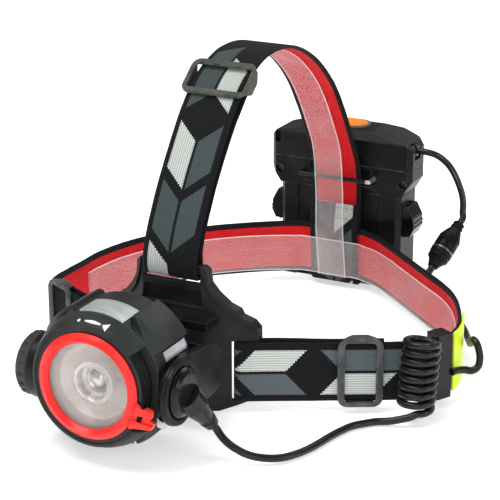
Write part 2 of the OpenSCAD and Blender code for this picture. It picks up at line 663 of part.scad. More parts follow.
tab_angle = 111;
sleeve_back = 121.2;
cam_low = 122.7;
cam_steps = 9;
cam_sweep = 45;
cam_starts = [104, 284];
module zoom_ring() piece([0.93, 0.2, 0.18]) on_lamp() {
    difference() {
        rotate_extrude() polygon([
            [aperture_r, ring_face - 1.8], [aperture_r + 0.4, ring_face - 1.2], [aperture_r + 1.4, ring_face],
            [ring_r - 1.3, ring_face - 0.5], [ring_r, ring_face - 1.7], [ring_r, housing_front + 0.1],
            [ring_r - 2 * barrel_clear, housing_front], [ring_r - 2 * barrel_clear, 131.4],
            [ring_r - 1.1, 131.4], [ring_r - 1.1, 130.2], [ring_r - 2 * barrel_clear, 130.2],
            [ring_r - 2 * barrel_clear, sleeve_back], [ring_r - 1.8, sleeve_back],
            [ring_r - 1.8, 135.9], [aperture_r, 135.9]
        ]);
        // cam slots that draw the lens carrier back
        for (a = cam_starts, k = [0 : cam_steps]) rotate([0, 0, a - cam_sweep * (1 - k / cam_steps)])
            translate([ring_r - 4, -1.2, cam_low + zoom_travel * k / cam_steps]) cube([6, 2.4, 2.6]);
        // fine index marks on the bezel
        for (a = [150 : 15 : 240]) rotate([0, 0, a]) translate([aperture_r + 1.5, -0.25, ring_face - 0.45]) cube([2, 0.5, 1]);
    }
    rotate([0, 0, 90 - tab_angle]) finger_tab();
}
// Two swept prongs on a web, seen with local x pointing away from the lamp's axis
module finger_tab() {
    difference() {
        translate([ring_r - 1.2, 0, ring_face - 2.5]) rotate([0, 32, 0]) union() {
            linear_extrude(1.7) polygon([[0, -5.4], [3.4, -4.6], [9.4, -4], [9.8, -1.8], [6.6, -0.6], [7.6, 1.2], [7.2, 3.4],
                [2.4, 4.4], [0, 5.4]]);
            linear_extrude(2.8) polygon([[0, -5], [3.4, -4.4], [9, -3.8], [9.2, -2.4], [2.8, -1.8], [0, -1.4]]);
            linear_extrude(2.8) polygon([[0, 1.2], [2.8, 1.2], [7, 1.6], [6.8, 3.2], [2.4, 4.2], [0, 5]]);
        }
        cylinder(r = ring_r - 0.4, h = 300);
        translate([0, 0, 100]) cylinder(r = ring_r + 3, h = housing_front - 99.9);
        tube(2 * housing_r, tab_reach - slip, 100, 170);
    }
}
module ring_seal() piece([0.1, 0.1, 0.1]) on_lamp()
    rotate_extrude() translate([ring_r - 0.68, 130.8]) circle(0.42, $fn = 24);

lens_front = 134.9;
carrier_r = ring_r - 1.9;
// Floor of the deep well in the lens face, where its centre dome stands
well_floor = 126;
module lens_carrier() piece([0.15, 0.15, 0.16]) on_lamp() union() {
    difference() {
        translate([0, 0, 123]) cylinder(r = carrier_r, h = lens_front - 0.6 - 123);
        translate([0, 0, 122]) cylinder(r = 14.6, h = 20);
        translate([0, 0, lens_front - 3]) cylinder(r = carrier_r - 1, h = 10);
    }
    for (a = cam_starts) rotate([0, 0, a]) translate([carrier_r - 0.6, -0.6, cam_low + zoom_travel + 0.6])
        cube([3.4, 1.2, 1.4]);
}
module lens() piece([0.9, 0.93, 0.95]) on_lamp() rotate_extrude() polygon([
    [0, well_floor + 3], [1.8, well_floor + 2.75], [3.4, well_floor + 1.9], [4.6, well_floor + 0.4], [4.9, well_floor],
    [5.9, well_floor], [6.7, lens_front - 0.5], [7.3, lens_front], [carrier_r - 1.1, lens_front],
    [carrier_r - 1.1, lens_front - 2.95], [14.2, lens_front - 2.95], [10.5, 126.5], [7, 123.2], [4.2, 121.8], [4, 121.8],
    [3.6, 123.4], [1.6, 123.9], [0, 124]
]);

module brightness_knob() piece([0.16, 0.17, 0.17]) on_pivot() mirror([0, 0, 1]) {
    knob_in = arm_in + arm_t + 0.3;
    difference() {
        translate([0, 0, knob_in]) rotate_extrude() polygon([
            [0, 0], [knob_r - 0.6, 0], [knob_r, 0.8], [knob_r, knob_w - 1.6], [knob_r - 1.6, knob_w], [4, knob_w],
            [3, knob_w - 0.8], [0, knob_w - 0.8]
        ]);
        for (k = [0 : knob_flutes - 1]) rotate([0, 0, k * 360 / knob_flutes])
            translate([knob_r + 0.35, 0, knob_in + 1.2]) cylinder(r = 1.1, h = knob_w, $fn = 16);
    }
    translate([0, 0, ring_r + 2]) cylinder(r = 2.9, h = knob_in - ring_r - 1.5);
}

// ---------------------------------------------------------------- battery pack

rear_sweep = 60;
module pack_section(half, y0, y1) intersection() {
    polygon([[-half + 2.2, y0], [half - 2.2, y0], [half, y0 + 2.2], [half, y1 + 2], [-half, y1 + 2], [-half, y0 + 2.2]]);
    translate([0, y1 - rear_sweep]) circle(rear_sweep, $fn = 180);
}
module pack_side(y0, y1) polygon([
    [y0, -1], [y0, pack_h - 4.4], [y0 + 2.6, pack_h - 0.6], [y0 + 5, pack_h + 1], [y1 - 9, pack_h + 1],
    [y1 - 4, pack_h - 2.4], [y1 - 0.8, pack_h - 8], [y1 + 1, pack_h - 16], [y1 + 1, 12], [y1 - 0.8, 5], [y1 - 3, -1]
]);
module hood_face(inset, foot_x) polygon([
    [-foot_x + inset, 45 - inset], [-hood_half + inset, 52.5], [-hood_half + inset, pack_h - 7],
    [-hood_half + 3 + inset, pack_h - 4 - inset], [-14, pack_h - 0.6 - inset], [14, pack_h - 0.6 - inset],
    [hood_half - 3 - inset, pack_h - 4 - inset], [hood_half - inset, pack_h - 7], [hood_half - inset, 52.5],
    [foot_x - inset, 45 - inset]
]);
module hood_form() intersection() {
    linear_extrude(pack_h + 2) pack_section(hood_half, pack_front, pack_back);
    along_x(2 * hood_half + 4) pack_side(pack_front, pack_back);
    along_y(pack_front - 1, pack_back + 1) hood_face(0, case_half);
}
cell_y = pack_front + pack_wall + cell_r + 1;
cell_foot = 3.8;
cavity_top = pack_h - 2.9;
// The space that the case and its cells slide out of
module hood_cavity() {
    translate([-case_half - 0.2, pack_front + pack_wall, 40]) intersection() {
        cube([2 * case_half + 0.4, pack_depth - 2 * pack_wall, cavity_top - 40]);
        translate([case_half + 0.2, -pack_front - pack_wall, 0]) linear_extrude(60)
            pack_section(hood_half - pack_wall, pack_front, pack_back - pack_wall);
        translate([case_half + 0.2, -pack_front - pack_wall, -40]) along_y(pack_front, pack_back)
            hood_face(1.3, hood_half);
        translate([case_half + 0.2, -pack_front - pack_wall, -40]) along_x(2 * hood_half)
            pack_side(pack_front + 1, pack_back - 2.2);
    }
    translate([case_half - 1, pack_front + 8, seam_z - 9]) cube([3.4, 7, 14]);
}
hood_screw_x = hood_half - 4.2;
hood_screw_z = 51.4;
module hood_screw_holes(r, h) for (x = [-1, 1])
    translate([x * hood_screw_x, pack_front - 1, hood_screw_z]) rotate([-90, 0, 0]) cylinder(r = r, h = h);
bar_half = 17.4;
bar_r = 1;
strap_bar_y = pack_front - 3.4 - webbing_t / 2 - 2 * seat - grip_t - bar_r;

// Rounded recess down the front of the pack, across the joint of hood and case
panel_top = 47.2;
module recess_panel() along_y(pack_front - 1, pack_front + 0.9) translate([-0.5, panel_top / 2 - 15])
    polygon(rounded(43, panel_top + 30, 5));

module pack_hood() piece([0.13, 0.14, 0.14]) difference() {
    intersection() {
        hood_form();
        translate([-60, 0, 45]) cube([120, 200, seam_z - 0.1 - 45]);
    }
    hood_cavity();
    hood_screw_holes(2, 4.5);
    hood_screw_holes(1.1, 8.9);
    recess_panel();
    // shallow relief behind the strap bar
    along_y(pack_front - 1, pack_front + 1) polygon([[-15, 48], [15, 48], [16, 50], [16, 56.4], [-16, 56.4], [-16, 50]]);
    for (x = [-bar_half, bar_half]) translate([x, pack_front - 1, strap_bar_z]) rotate([-90, 0, 0])
        cylinder(r = bar_r + 0.02, h = 2.6);
}
gland = [hood_half - 3.4, pack_front + 7.6, 66.5];
module pack_cap() piece([0.12, 0.13, 0.13]) difference() {
    intersection() {
        hood_form();
        translate([-60, 0, seam_z + 0.1]) cube([120, 200, 40]);
    }
    hood_cavity();
    // button well
    translate([0, pack_front + 12.5, cavity_top - 1]) linear_extrude(10) stadium(button_half + 1.4, button_r + 1.4);
    // notch at the right shoulder where the lead leaves
    translate([gland[0] + 0.9, gland[1] - 3.4, 62.4]) cube([10, 6.8, 20]);
    translate(gland + [-8, 0, 0]) rotate([0, 90, 0]) cylinder(r = 2.6, h = 20);
    translate(gland + [-8, 0, 0]) rotate([0, 90, 0]) cylinder(r = 3.45, h = 6.05);
    // oblong pocket on the left shoulder
    translate([-hood_half + 3.5, pack_front - 1, pack_h - 7.4]) rotate([-90, 0, 0]) linear_extrude(4.4)
        rotate([0, 0, 90]) stadium(3.1, 1.5);
}
module hood_screws() piece([0.6, 0.6, 0.62]) for (x = [-1, 1])
    translate([x * hood_screw_x, pack_front + 2.2, hood_screw_z]) rotate([-90, 0, 0]) difference() {
        union() {
            cylinder(r = 1.9, h = 1.25);
            cylinder(r = 1.05, h = 5.5);
        }
        translate([0, 0, -1]) cylinder(r = 0.8, h = 1.6, $fn = 6);
    }
module strap_bar() piece([0.5, 0.5, 0.52]) {
    for (x = [-bar_half, bar_half]) {
        translate([x, strap_bar_y, strap_bar_z]) rotate([-90, 0, 0]) cylinder(r = bar_r, h = pack_front + 1.4 - strap_bar_y);
        translate([x, strap_bar_y, strap_bar_z]) sphere(bar_r);
    }
    translate([-bar_half, strap_bar_y, strap_bar_z]) rotate([0, 90, 0]) cylinder(r = bar_r, h = 2 * bar_half);
}
module button_bezel() piece([0.35, 0.38, 0.36]) translate([0, pack_front + 12.5, cavity_top - 0.95]) difference() {
    union() {
        linear_extrude(4.15) stadium(button_half + 1.35, button_r + 1.35);
    }
    translate([0, 0, -1]) linear_extrude(8) stadium(button_half + 0.1, button_r + 0.1);
}
button_top = pack_h + 1.1;
module push_button() piece([0.95, 0.5, 0.18]) translate([0, pack_front + 12.5, 0]) {
    translate([0, 0, cavity_top + 1.2]) linear_extrude(button_top - 0.8 - cavity_top - 1.2) stadium(button_half, button_r);
    translate([0, 0, button_top - 0.85]) linear_extrude(0.5) stadium(button_half - 0.7, button_r - 0.7);
    translate([0, 0, button_top - 0.4]) linear_extrude(0.4) stadium(button_half - 1.9, button_r - 1.9);
}
module power_switch() piece([0.2, 0.2, 0.22]) translate([0, pack_front + 12.5, cell_foot + cell_l + 1.15]) {
    linear_extrude(1) square([6, 6], center = true);
    cylinder(r = 1.6, h = cavity_top + 1.15 - button_travel - cell_foot - cell_l - 1.15);
}
module top_contacts() piece([0.85, 0.72, 0.4])
    translate([-26, cell_y - 5, cell_foot + cell_l + 0.1]) cube([52, 10, 1]);
module charge_board() piece([0.1, 0.35, 0.2]) {
    translate([case_half + 0.4, pack_front + 8.4, seam_z - 8.6]) cube([1, 6.2, 13]);
    translate([case_half - 0.4, pack_front + 9, seam_z - 5]) cube([0.8, 5, 6]);
}
module cable_gland() piece([0.12, 0.12, 0.13]) turned(gland + [-3.2, 0, 0], gland + [3.4, 0, 0], [
    [0, 0], [3.4, 0], [3.4, 1.2], [2.55, 1.2], [2.55, 4.8], [3.2, 4.8], [3.2, 5.6], [2.4, 6.6], [0, 6.6]
]);

case_top = 47;
module cell_case() piece([0.14, 0.15, 0.15]) difference() {
    union() {
        intersection() {
            linear_extrude(case_top - 2) pack_section(case_half, pack_front, pack_back);
            along_x(2 * hood_half) pack_side(pack_front, pack_back);
            translate([-60, 0, 0]) cube([120, 200, 44.9]);
        }
        // spigot that enters the hood
        intersection() {
            linear_extrude(case_top + 3) pack_section(case_half - 0.1, pack_front + pack_wall + 0.1, pack_back - pack_wall - 0.1);
            translate([-60, 0, 40]) cube([120, 200, case_top + 3 - 40]);
        }
    }
    // bores for the three cells, open at the top
    for (k = [-1 : 1]) translate([k * cell_pitch, cell_y, 1.2]) cylinder(r = cell_r + 0.1, h = 80);
    recess_panel();
    // seats of the side latches
    mirrored() translate([case_half - 1.5, pack_front + 2.6, latch_low - 0.4])
        cube([10, latch_y1 - latch_y0 + 0.8, latch_high - latch_low + 0.8]);
    // groove for the seal
    translate([0, 0, 46.4]) seal_ring(0.4, 1.5);
}
latch_low = 25.6;
latch_out = hood_half + 1.2;
latch_high = 40;
latch_y0 = pack_front + 3;
latch_y1 = pack_front + 14.5;
module seal_ring(depth, h) linear_extrude(h) difference() {
    pack_section(case_half + 3, pack_front + pack_wall - 3, pack_back - pack_wall + 3);
    pack_section(case_half - 0.1 - depth, pack_front + pack_wall + 0.1 + depth, pack_back - pack_wall - 0.1 - depth);
}
module case_seal() piece([0.45, 0.1, 0.1]) translate([0, 0, 46.5]) linear_extrude(1.3) difference() {
    pack_section(case_half - 0.15, pack_front + pack_wall + 0.15, pack_back - pack_wall - 0.15);
    pack_section(case_half - 0.48, pack_front + pack_wall + 0.48, pack_back - pack_wall - 0.48);
}
module cells() piece([0.2, 0.35, 0.6]) for (k = [-1 : 1]) translate([k * cell_pitch, cell_y, cell_foot]) {
    cylinder(r = cell_r, h = cell_l - 1.2);
    translate([0, 0, cell_l - 1.3]) cylinder(r = 3, h = 1.3);
}
module cell_springs() piece([0.75, 0.75, 0.76]) for (k = [-1 : 1]) translate([k * cell_pitch, cell_y, 1.25])
    rotate_extrude() polygon([[0, 1.9], [3, 1.9], [6.6, 0], [7.4, 0], [3.4, 2.5], [0, 2.5]]);

// Squeeze latch beside the case: it swings in about its lower edge
module latch() translate([0, latch_y1, 0]) rotate([90, 0, 0]) difference() {
    union() {
        linear_extrude(latch_y1 - latch_y0) polygon([
            [case_half - 1.1, latch_low + 0.5], [latch_out - 2.2, latch_low], [latch_out, latch_low + 4.5],
            [latch_out - 0.6, latch_low + 9], [latch_out - 3.4, latch_high], [case_half + 0.6, latch_high],
            [case_half + 0.2, latch_high - 4], [case_half - 0.1, latch_low + 5]
        ]);
        // knuckle that it rocks on
        translate([case_half + 1.5, latch_low + 1, 0]) cylinder(r = 1.3, h = latch_y1 - latch_y0);
    }
    for (k = [0 : 2]) translate([latch_out + 0.1 - 0.2 * k, latch_low + 5 + 2.2 * k, -1]) cylinder(r = 0.6, h = 30, $fn = 6);
}
module latch_right() piece([0.1, 0.11, 0.11]) latch();
module latch_left() piece([0.1, 0.11, 0.11]) mirror([1, 0, 0]) latch();

// ---------------------------------------------------------------- lead

// The clip on the band that parks the lead, and the point where the lead enters it
clip_turn = 61.5;
clip_at = [reach_right - 2.4, -24.2];
block_l = 7.2;
park_dir = [cos(clip_turn), sin(clip_turn), 0];
park = [clip_at[0], clip_at[1], 16] + block_l / 2 * park_dir + 2.9 * [sin(clip_turn), -cos(clip_turn), 0];

plug_top = [66, 71, 43.2];
socket_end = [61.4, 51.4, 28.6];
plug_dir = unit(socket_end - plug_top);
joint_at = plug_top + 15.5 * plug_dir;
coil_foot = [89.2, -50.8, 3.1];

// From the pack's gland to the plug
pack_lead_route = [
    gland + [3.4, 0, 0], gland + [6.6, 0, 0], gland + [9.4, 0.4, -0.4], [44, 97.5, 65.2], [48.4, 96.8, 63.2],
    [52.2, 95.6, 60.4], [55.4, 93.4, 57.4], [58.4, 90.2, 54.6], [61.4, 86, 51.8], [63.8, 81.2, 49.2], [65.4, 76.6, 46.9],
    plug_top - 3.3 * plug_dir, plug_top
];
// From the socket, outside the band, to the clip
clip_lead_route = [
    socket_end, socket_end + 1.5 * plug_dir, [60.8, 48.2, 26.2], [61.8, 47.6, 23.2], [65.4, 46, 20], [70, 42.5, 17.4],
    [75.5, 37.6, 15.4], [81.4, 31.4, 14.2], [86.8, 24, 13.6], [91.4, 15.6, 14], [95.4, 7, 15.6], [98.8, -1, 18.4],
    [101.4, -6.6, 21.8], [103.2, -9.8, 24], [105, -11.4, 23.2], [106.4, -12.2, 20.4], [107, -12.8, 17], [106.6, -14, 14.4],
    [104.8, -15.6, 13.2], [102.4, -16.8, 13.5], park - [0, 0, park[2] - 14] + 3.1 * park_dir, park - [0, 0, park[2] - 14]
];
// From the curls along the ground to the lamp's strain relief
ground = lead_d / 2 + 0.1;
lamp_lead_route = [
    coil_foot, coil_foot - [3, 1, 1], [83.6, -52.2, 1.9], [80.2, -54.2, ground], [77, -57.4, ground], [73.4, -62, ground], [71.2, -68, ground], [69.6, -74.4, ground], [68.4, -81, ground],
    [66.8, -88, ground], [64.4, -95, ground + 0.2], [60.8, -101, ground + 0.5], [56, -105, ground + 1.2],
    [51, -107.4, ground + 2.4], [46.6, -108.4, ground + 4.2], [42.6, -108.4, ground + 6.2],
    [39.6, -108, ground + 8.4], boot_end + 3.1 * unit(boot_end - boot_root), boot_end
];

coil_top = [93.2, -41.7, 31.8];
coil_low = [91.7, -42.9, 5.2];
coil_dir = unit(coil_top - coil_low);
coil_u = unit([1, -0.4, 0] - ([1, -0.4, 0] * coil_dir) * coil_dir);
coil_v = cross(coil_dir, coil_u);
coil_r = (coil_d - lead_d) / 2;
curl_steps = 8;
coil_from = coil_low;
coil_points = [
    for (i = [0 : coil_turns * curl_steps])
        let (a = 360 * i / curl_steps - 40)
        coil_from + coil_dir * coil_pitch * i / curl_steps + coil_r * (cos(a) * coil_u + sin(a) * coil_v)
];
last = len(coil_points) - 1;
coil_head = park + [0, 0, 12] - block_l * park_dir;
coil_route = concat([coil_foot, coil_foot + [3, 1, 1]], coil_points,
    [coil_points[last] + [3.2, 2, 0.2], coil_head - [-0.6, 6.6, -2], coil_head - 3.1 * park_dir, coil_head]);
echo(coil_gap = min([
    for (i = [0 : last], j = [i + curl_steps - 1 : min(i + curl_steps + 1, last)])
        norm(coil_points[i] - coil_points[j]) - lead_d
]));

module pack_lead() piece([0.13, 0.13, 0.14]) cord(pack_lead_route, lead_d, 8);
module clip_lead() piece([0.13, 0.13, 0.14]) cord(clip_lead_route, lead_d, 8);
module lamp_lead() piece([0.13, 0.13, 0.14]) cord(lamp_lead_route, lead_d, 8);
module coil_lead() piece([0.13, 0.13, 0.14]) cord(coil_route, lead_d, 6);

module plug() piece([0.1, 0.11, 0.11]) turned(plug_top, joint_at, [
    [0, 0], [2.6, 0], [2.6, 1], [2.2, 1], [2.2, 2], [2.8, 2], [2.8, 3], [2.3, 3], [2.3, 4], [3, 4],
    [plug_r - 0.2, 8.6], [plug_r, 9.2], [plug_r, 15.5], [0, 15.5]
]);
module socket() piece([0.12, 0.13, 0.13]) turned(joint_at, socket_end, [
    [0, 0], [plug_r, 0], [plug_r, 3], [plug_r - 0.4, 3], [plug_r - 0.4, 4], [plug_r - 0.1, 4],
    [2.4, norm(socket_end - joint_at) - 1], [2.2, norm(socket_end - joint_at)], [0, norm(socket_end - joint_at)]
]);

// Clip on the band that parks the lead, and the bright tag under it
module lead_clip() piece([0.09, 0.09, 0.1]) translate([clip_at[0], clip_at[1], band_rise - 1.2])
    rotate([0, 0, clip_turn]) difference() {
        translate([-block_l / 2, -2.7, 0]) cube([block_l, 7.3, webbing_w + 2.4]);
        translate([-block_l, -1.7, 1]) cube([2 * block_l, 3.1, webbing_w + 0.4]);
    }
module safety_tag() piece([0.85, 1, 0.1]) translate([0, 0, band_rise]) linear_extrude(webbing_w)
    ribbon(beside(stretch(band_path, tag_from, tag_to), webbing_t / 2 + seat + 0.4), 0.8);

headband();
headband_grip();
top_strap();
top_strap_grip();
slider_right();
slider_left();
slider_top_piece();  // slider_top
base_plate();
forehead_pad();
yoke();
yoke_screws();
cable_boot();
lamp_housing();
top_inlay();
side_inlays();
guide_barrel();
rear_cover();
rear_screws();
pivot_pins();
heat_sink();
led_board();
led_emitter();
driver_board();
zoom_ring();
ring_seal();
lens_carrier();
lens();
brightness_knob();
pack_hood();
pack_cap();
hood_screws();
strap_bar();
button_bezel();
push_button();
power_switch();
charge_board();
top_contacts();
cable_gland();
cell_case();
case_seal();
cells();
cell_springs();
latch_right();
latch_left();
pack_lead();
plug();
socket();
clip_lead();
coil_lead();
lamp_lead();
lead_clip();
safety_tag();
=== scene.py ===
import math
import bmesh
import bpy
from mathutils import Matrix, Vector, noise


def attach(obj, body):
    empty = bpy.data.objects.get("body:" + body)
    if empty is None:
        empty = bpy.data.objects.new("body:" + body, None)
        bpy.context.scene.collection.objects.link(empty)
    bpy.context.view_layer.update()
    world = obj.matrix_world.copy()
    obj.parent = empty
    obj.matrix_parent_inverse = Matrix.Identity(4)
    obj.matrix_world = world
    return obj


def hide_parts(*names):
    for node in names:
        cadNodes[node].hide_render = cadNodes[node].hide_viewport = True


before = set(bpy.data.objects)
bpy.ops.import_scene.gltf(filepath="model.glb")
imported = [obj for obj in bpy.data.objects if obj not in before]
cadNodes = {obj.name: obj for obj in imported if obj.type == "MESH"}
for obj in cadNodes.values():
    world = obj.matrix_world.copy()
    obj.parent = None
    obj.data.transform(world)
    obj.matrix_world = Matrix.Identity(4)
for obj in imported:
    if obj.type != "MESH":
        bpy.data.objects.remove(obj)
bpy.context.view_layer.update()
print("frame loaded:", len(cadNodes), "parts")


# ---- places and lines

frameMiddle = (9.45, -11.5)  # where the frame's own middle lies, in mm from the headband's


def place(x, y, z):  # a point in mm, measured from the middle of the headband, to metres
    return Vector((x - frameMiddle[0], y - frameMiddle[1], z)) / 1000


def lineThrough(points, steps):
    # a smooth line through the points, with this many steps between two of them
    points = [Vector(p) for p in points]
    line = []
    for i in range(len(points) - 1):
        a, b = points[max(i - 1, 0)], points[i]
        c, d = points[i + 1], points[min(i + 2, len(points) - 1)]
        for k in range(steps):
            t = k / steps
            line.append(0.5 * (2 * b + (c - a) * t + (2 * a - 5 * b + 4 * c - d) * t * t
                               + (3 * b - a - 3 * c + d) * t ** 3))
    return line + [points[-1]]


def lengths(line):  # running length along a line
    run = [0.0]
    for a, b in zip(line, line[1:]):
        run.append(run[-1] + (b - a).length)
    return run


def headings(line):
    last = len(line) - 1
    return [(line[min(i + 1, last)] - line[max(i - 1, 0)]).normalized() for i in range(len(line))]


# ---- meshes

def newObject(name, data):
    thing = bpy.data.objects.new(name, data)
    bpy.context.scene.collection.objects.link(thing)
    return thing


def meshPiece(name, points, faces, smooth=True):
    mesh = bpy.data.meshes.new(name)
    mesh.from_pydata([tuple(p) for p in points], [], faces)
    mesh.validate()
    for face in mesh.polygons:
        face.use_smooth = smooth
    return newObject(name, mesh)


def applyModifiers(piece):
    bpy.context.view_layer.update()
    shape = bpy.data.meshes.new_from_object(piece.evaluated_get(bpy.context.evaluated_depsgraph_get()))
    piece.modifiers.clear()
    piece.data = shape
    return piece


def facesTowards(piece):  # every face turned outwards
    work = bmesh.new()
    work.from_mesh(piece.data)
    bmesh.ops.recalc_face_normals(work, faces=work.faces)
    work.to_mesh(piece.data)
    work.free()
    return piece


def turnedPiece(name, start, end, profile, steps=48, ring=False):
    # a solid of revolution from start towards end, profile in mm as (radius, distance);
    # a ring's profile closes on itself and leaves its middle open
    axis = (end - start).normalized()
    side = axis.orthogonal().normalized()
    other = axis.cross(side)
    points, faces = [], []
    for radius, distance in profile:
        for k in range(steps):
            a = 2 * math.pi * k / steps
            points.append(start + axis * distance / 1000
                          + (side * math.cos(a) + other * math.sin(a)) * radius / 1000)
    last = len(profile) - 1
    for i in range(len(profile) if ring else last):
        here, after = i * steps, (i + 1) % len(profile) * steps
        for k in range(steps):
            m = (k + 1) % steps
            faces.append((here + k, here + m, after + m, after + k))
    if not ring:
        faces.append(tuple(range(steps))[::-1])
        faces.append(tuple(last * steps + k for k in range(steps)))
    return facesTowards(meshPiece(name, points, faces))


# ---- shader maths

def tint(red, green, blue):  # a colour from 0 to 255 as it looks on a screen
    def linear(v):
        v = v / 255
        return v / 12.92 if v <= 0.04045 else ((v + 0.055) / 1.055) ** 2.4
    return (linear(red), linear(green), linear(blue), 1.0)


def scaled(colour, factor, lift=0.0):  # lighter or darker, but never past white
    return tuple(min(c * factor + lift, 1) for c in colour[:3]) + (1,)


class Signal:  # a socket that takes part in sums
    def __init__(self, finish, socket):
        self.finish = finish
        self.socket = socket

    def maths(self, operation, *values):
        return self.finish.add("ShaderNodeMath", {"operation": operation}, dict(enumerate(values)))

    def __add__(self, other):
        return self.maths("ADD", self, other)

    def __radd__(self, other):
        return self.maths("ADD", other, self)

    def __sub__(self, other):
        return self.maths("SUBTRACT", self, other)

    def __rsub__(self, other):
        return self.maths("SUBTRACT", other, self)

    def __mul__(self, other):
        return self.maths("MULTIPLY", self, other)

    def __rmul__(self, other):
        return self.maths("MULTIPLY", other, self)

    def __truediv__(self, other):
        return self.maths("DIVIDE", self, other)

    def __pow__(self, other):
        return self.maths("POWER", self, other)

    def __mod__(self, other):
        return self.maths("FLOORED_MODULO", self, other)

    def __gt__(self, other):
        return self.maths("GREATER_THAN", self, other)

    def __lt__(self, other):
        return self.maths("LESS_THAN", self, other)

    def __abs__(self):
        return self.maths("ABSOLUTE", self)

    def floor(self):
        return self.maths("FLOOR", self)

    def sine(self):
        return self.maths("SINE", self)

    def rise(self, low, high):  # 0 at low and 1 at high, smoothly
        return self.finish.add("ShaderNodeMapRange", {"interpolation_type": "SMOOTHSTEP"},
                               {"Value": self, "From Min": low, "From Max": high})


class Finish:  # a material, built node by node
    def __init__(self, name, **fixed):
        self.material = bpy.data.materials.new(name)
        self.material.use_nodes = True
        self.tree = self.material.node_tree
        self.tree.nodes.clear()
        self.shader = self.tree.nodes.new("ShaderNodeBsdfPrincipled")
        out = self.tree.nodes.new("ShaderNodeOutputMaterial")
        self.tree.links.new(self.shader.outputs[0], out.inputs[0])
        for key, value in fixed.items():
            self.give(key, value)

    def give(self, key, value):  # set or link one socket of the shader, named like baseColor
        words = "".join(" " + c if c.isupper() else c for c in key)
        socket = self.shader.inputs[(words[0].upper() + words[1:]).replace("Ior", "IOR")]
        if isinstance(value, Signal):
            self.tree.links.new(value.socket, socket)
        else:
            socket.default_value = value
        return self

    def add(self, kind, settings, sockets, out=0):
        node = self.tree.nodes.new(kind)
        for key, value in settings.items():
            if key == "stops":
                ramp = node.color_ramp
                while len(ramp.elements) > 1:
                    ramp.elements.remove(ramp.elements[-1])
                ramp.elements[0].position, ramp.elements[0].color = value[0]
                for position, colour in value[1:]:
                    ramp.elements.new(position).color = colour
            elif key == "steps":
                node.color_ramp.interpolation = value
            else:
                setattr(node, key, value)
        for key, value in sockets.items():
            if isinstance(value, Signal):
                self.tree.links.new(value.socket, node.inputs[key])
            elif value is not None:
                node.inputs[key].default_value = value
        return Signal(self, node.outputs[out])

    def blend(self, amount, first, second, kind="MIX"):  # colours, first where amount is 0
        return self.add("ShaderNodeMix", {"data_type": "RGBA", "blend_type": kind},
                        {0: amount, 6: first, 7: second}, 2)

    def shaded(self, colour, amount):  # a colour times an amount of light
        return self.blend(1.0, colour, self.blend(amount, (0, 0, 0, 1), (1, 1, 1, 1)), "MULTIPLY")

    def where(self):
        return self.add("ShaderNodeTexCoord", {}, {}, "Object")

    def alongUv(self):  # the piece's own two coordinates, in mm
        uv = self.add("ShaderNodeTexCoord", {}, {}, "UV")
        both = self.add("ShaderNodeSeparateXYZ", {}, {0: uv})
        return both, Signal(self, both.socket.node.outputs[1])

    def grain(self, size, detail=3, stretch=(1, 1, 1), source=None, roughness=0.55):
        # noise whose largest patches are about this many mm
        spot = self.add("ShaderNodeMapping", {}, {"Vector": source or self.where(), "Scale": stretch})
        return self.add("ShaderNodeTexNoise", {"noise_dimensions": "3D"},
                        {"Vector": spot, "Scale": 1000 / size, "Detail": detail, "Roughness": roughness})

    def speckle(self, size):  # distance to the nearest of scattered points, about this many mm apart
        return self.add("ShaderNodeTexVoronoi", {"feature": "F1"},
                        {"Vector": self.where(), "Scale": 1000 / size})

    def rounded(self, radius):  # the surface's direction as if its edges were rounded, radius in mm
        return self.add("ShaderNodeBevel", {"samples": 6}, {"Radius": radius / 1000})

    def edges(self, radius):  # 1 on sharp outer and inner edges, 0 on open faces
        rounded = self.rounded(radius)
        flat = self.add("ShaderNodeNewGeometry", {}, {}, "Normal")
        same = self.add("ShaderNodeVectorMath", {"operation": "DOT_PRODUCT"}, {0: rounded, 1: flat}, "Value")
        return (1 - same).rise(0.01, 0.22)

    def relief(self, height, depth, radius=0.0):  # a height from 0 to 1 raised by depth mm
        under = self.rounded(radius) if radius else None
        bump = self.add("ShaderNodeBump", {}, {"Strength": 1.0, "Distance": depth / 1000, "Height": height,
                                               "Normal": under})
        return self.give("normal", bump)


def dress(piece, *finishes):
    chosen = [face.material_index for face in piece.data.polygons]
    piece.data.materials.clear()
    for finish in finishes:
        piece.data.materials.append(finish.material)
    for face, index in zip(piece.data.polygons, chosen):
        face.material_index = min(index, len(finishes) - 1)
    return piece


def finishNodes(finish, *names):  # parts that keep their own shape
    for name in names:
        for held in cadNodes[name].material_slots:
            held.material = finish.material


def moulded(name, colour, roughness=0.45, grainSize=0.35, grainDepth=0.02, worn=None, wearAndHighlightAmount=0.5,
            edgeRadius=0.4, dust=0.06, coat=0.0, gloss=0.14):
    # moulded plastic or rubber: fine spark texture, softly rounded edges, and sharp edges lighter and less rough,
    # partly wear and partly a painted highlight
    finish = Finish(name, specularIorLevel=gloss, coatWeight=coat, coatRoughness=0.25)
    cloud = finish.grain(18, 4)
    fine = finish.grain(grainSize, 2)
    edge = finish.edges(edgeRadius)
    lighter = scaled(colour, 1 + 2.2 * dust, 0.12 * dust)
    body = finish.blend(cloud.rise(0.35, 0.68), scaled(colour, 1 - 1.6 * dust), lighter)
    # painted highlight and wear: the lighter edge colour stands partly for rubbed plastic and partly for light
    # caught along rounded edges
    wearAndHighlight = edge * finish.grain(3.0, 3).rise(0.3, 0.75) * wearAndHighlightAmount
    finish.give("baseColor", finish.blend(wearAndHighlight, body, worn or lighter))
    finish.give("roughness", roughness + (cloud - 0.5) * 0.14 + (fine - 0.5) * 0.1 - wearAndHighlight * 0.12)
    return finish.relief(fine, grainDepth, edgeRadius)


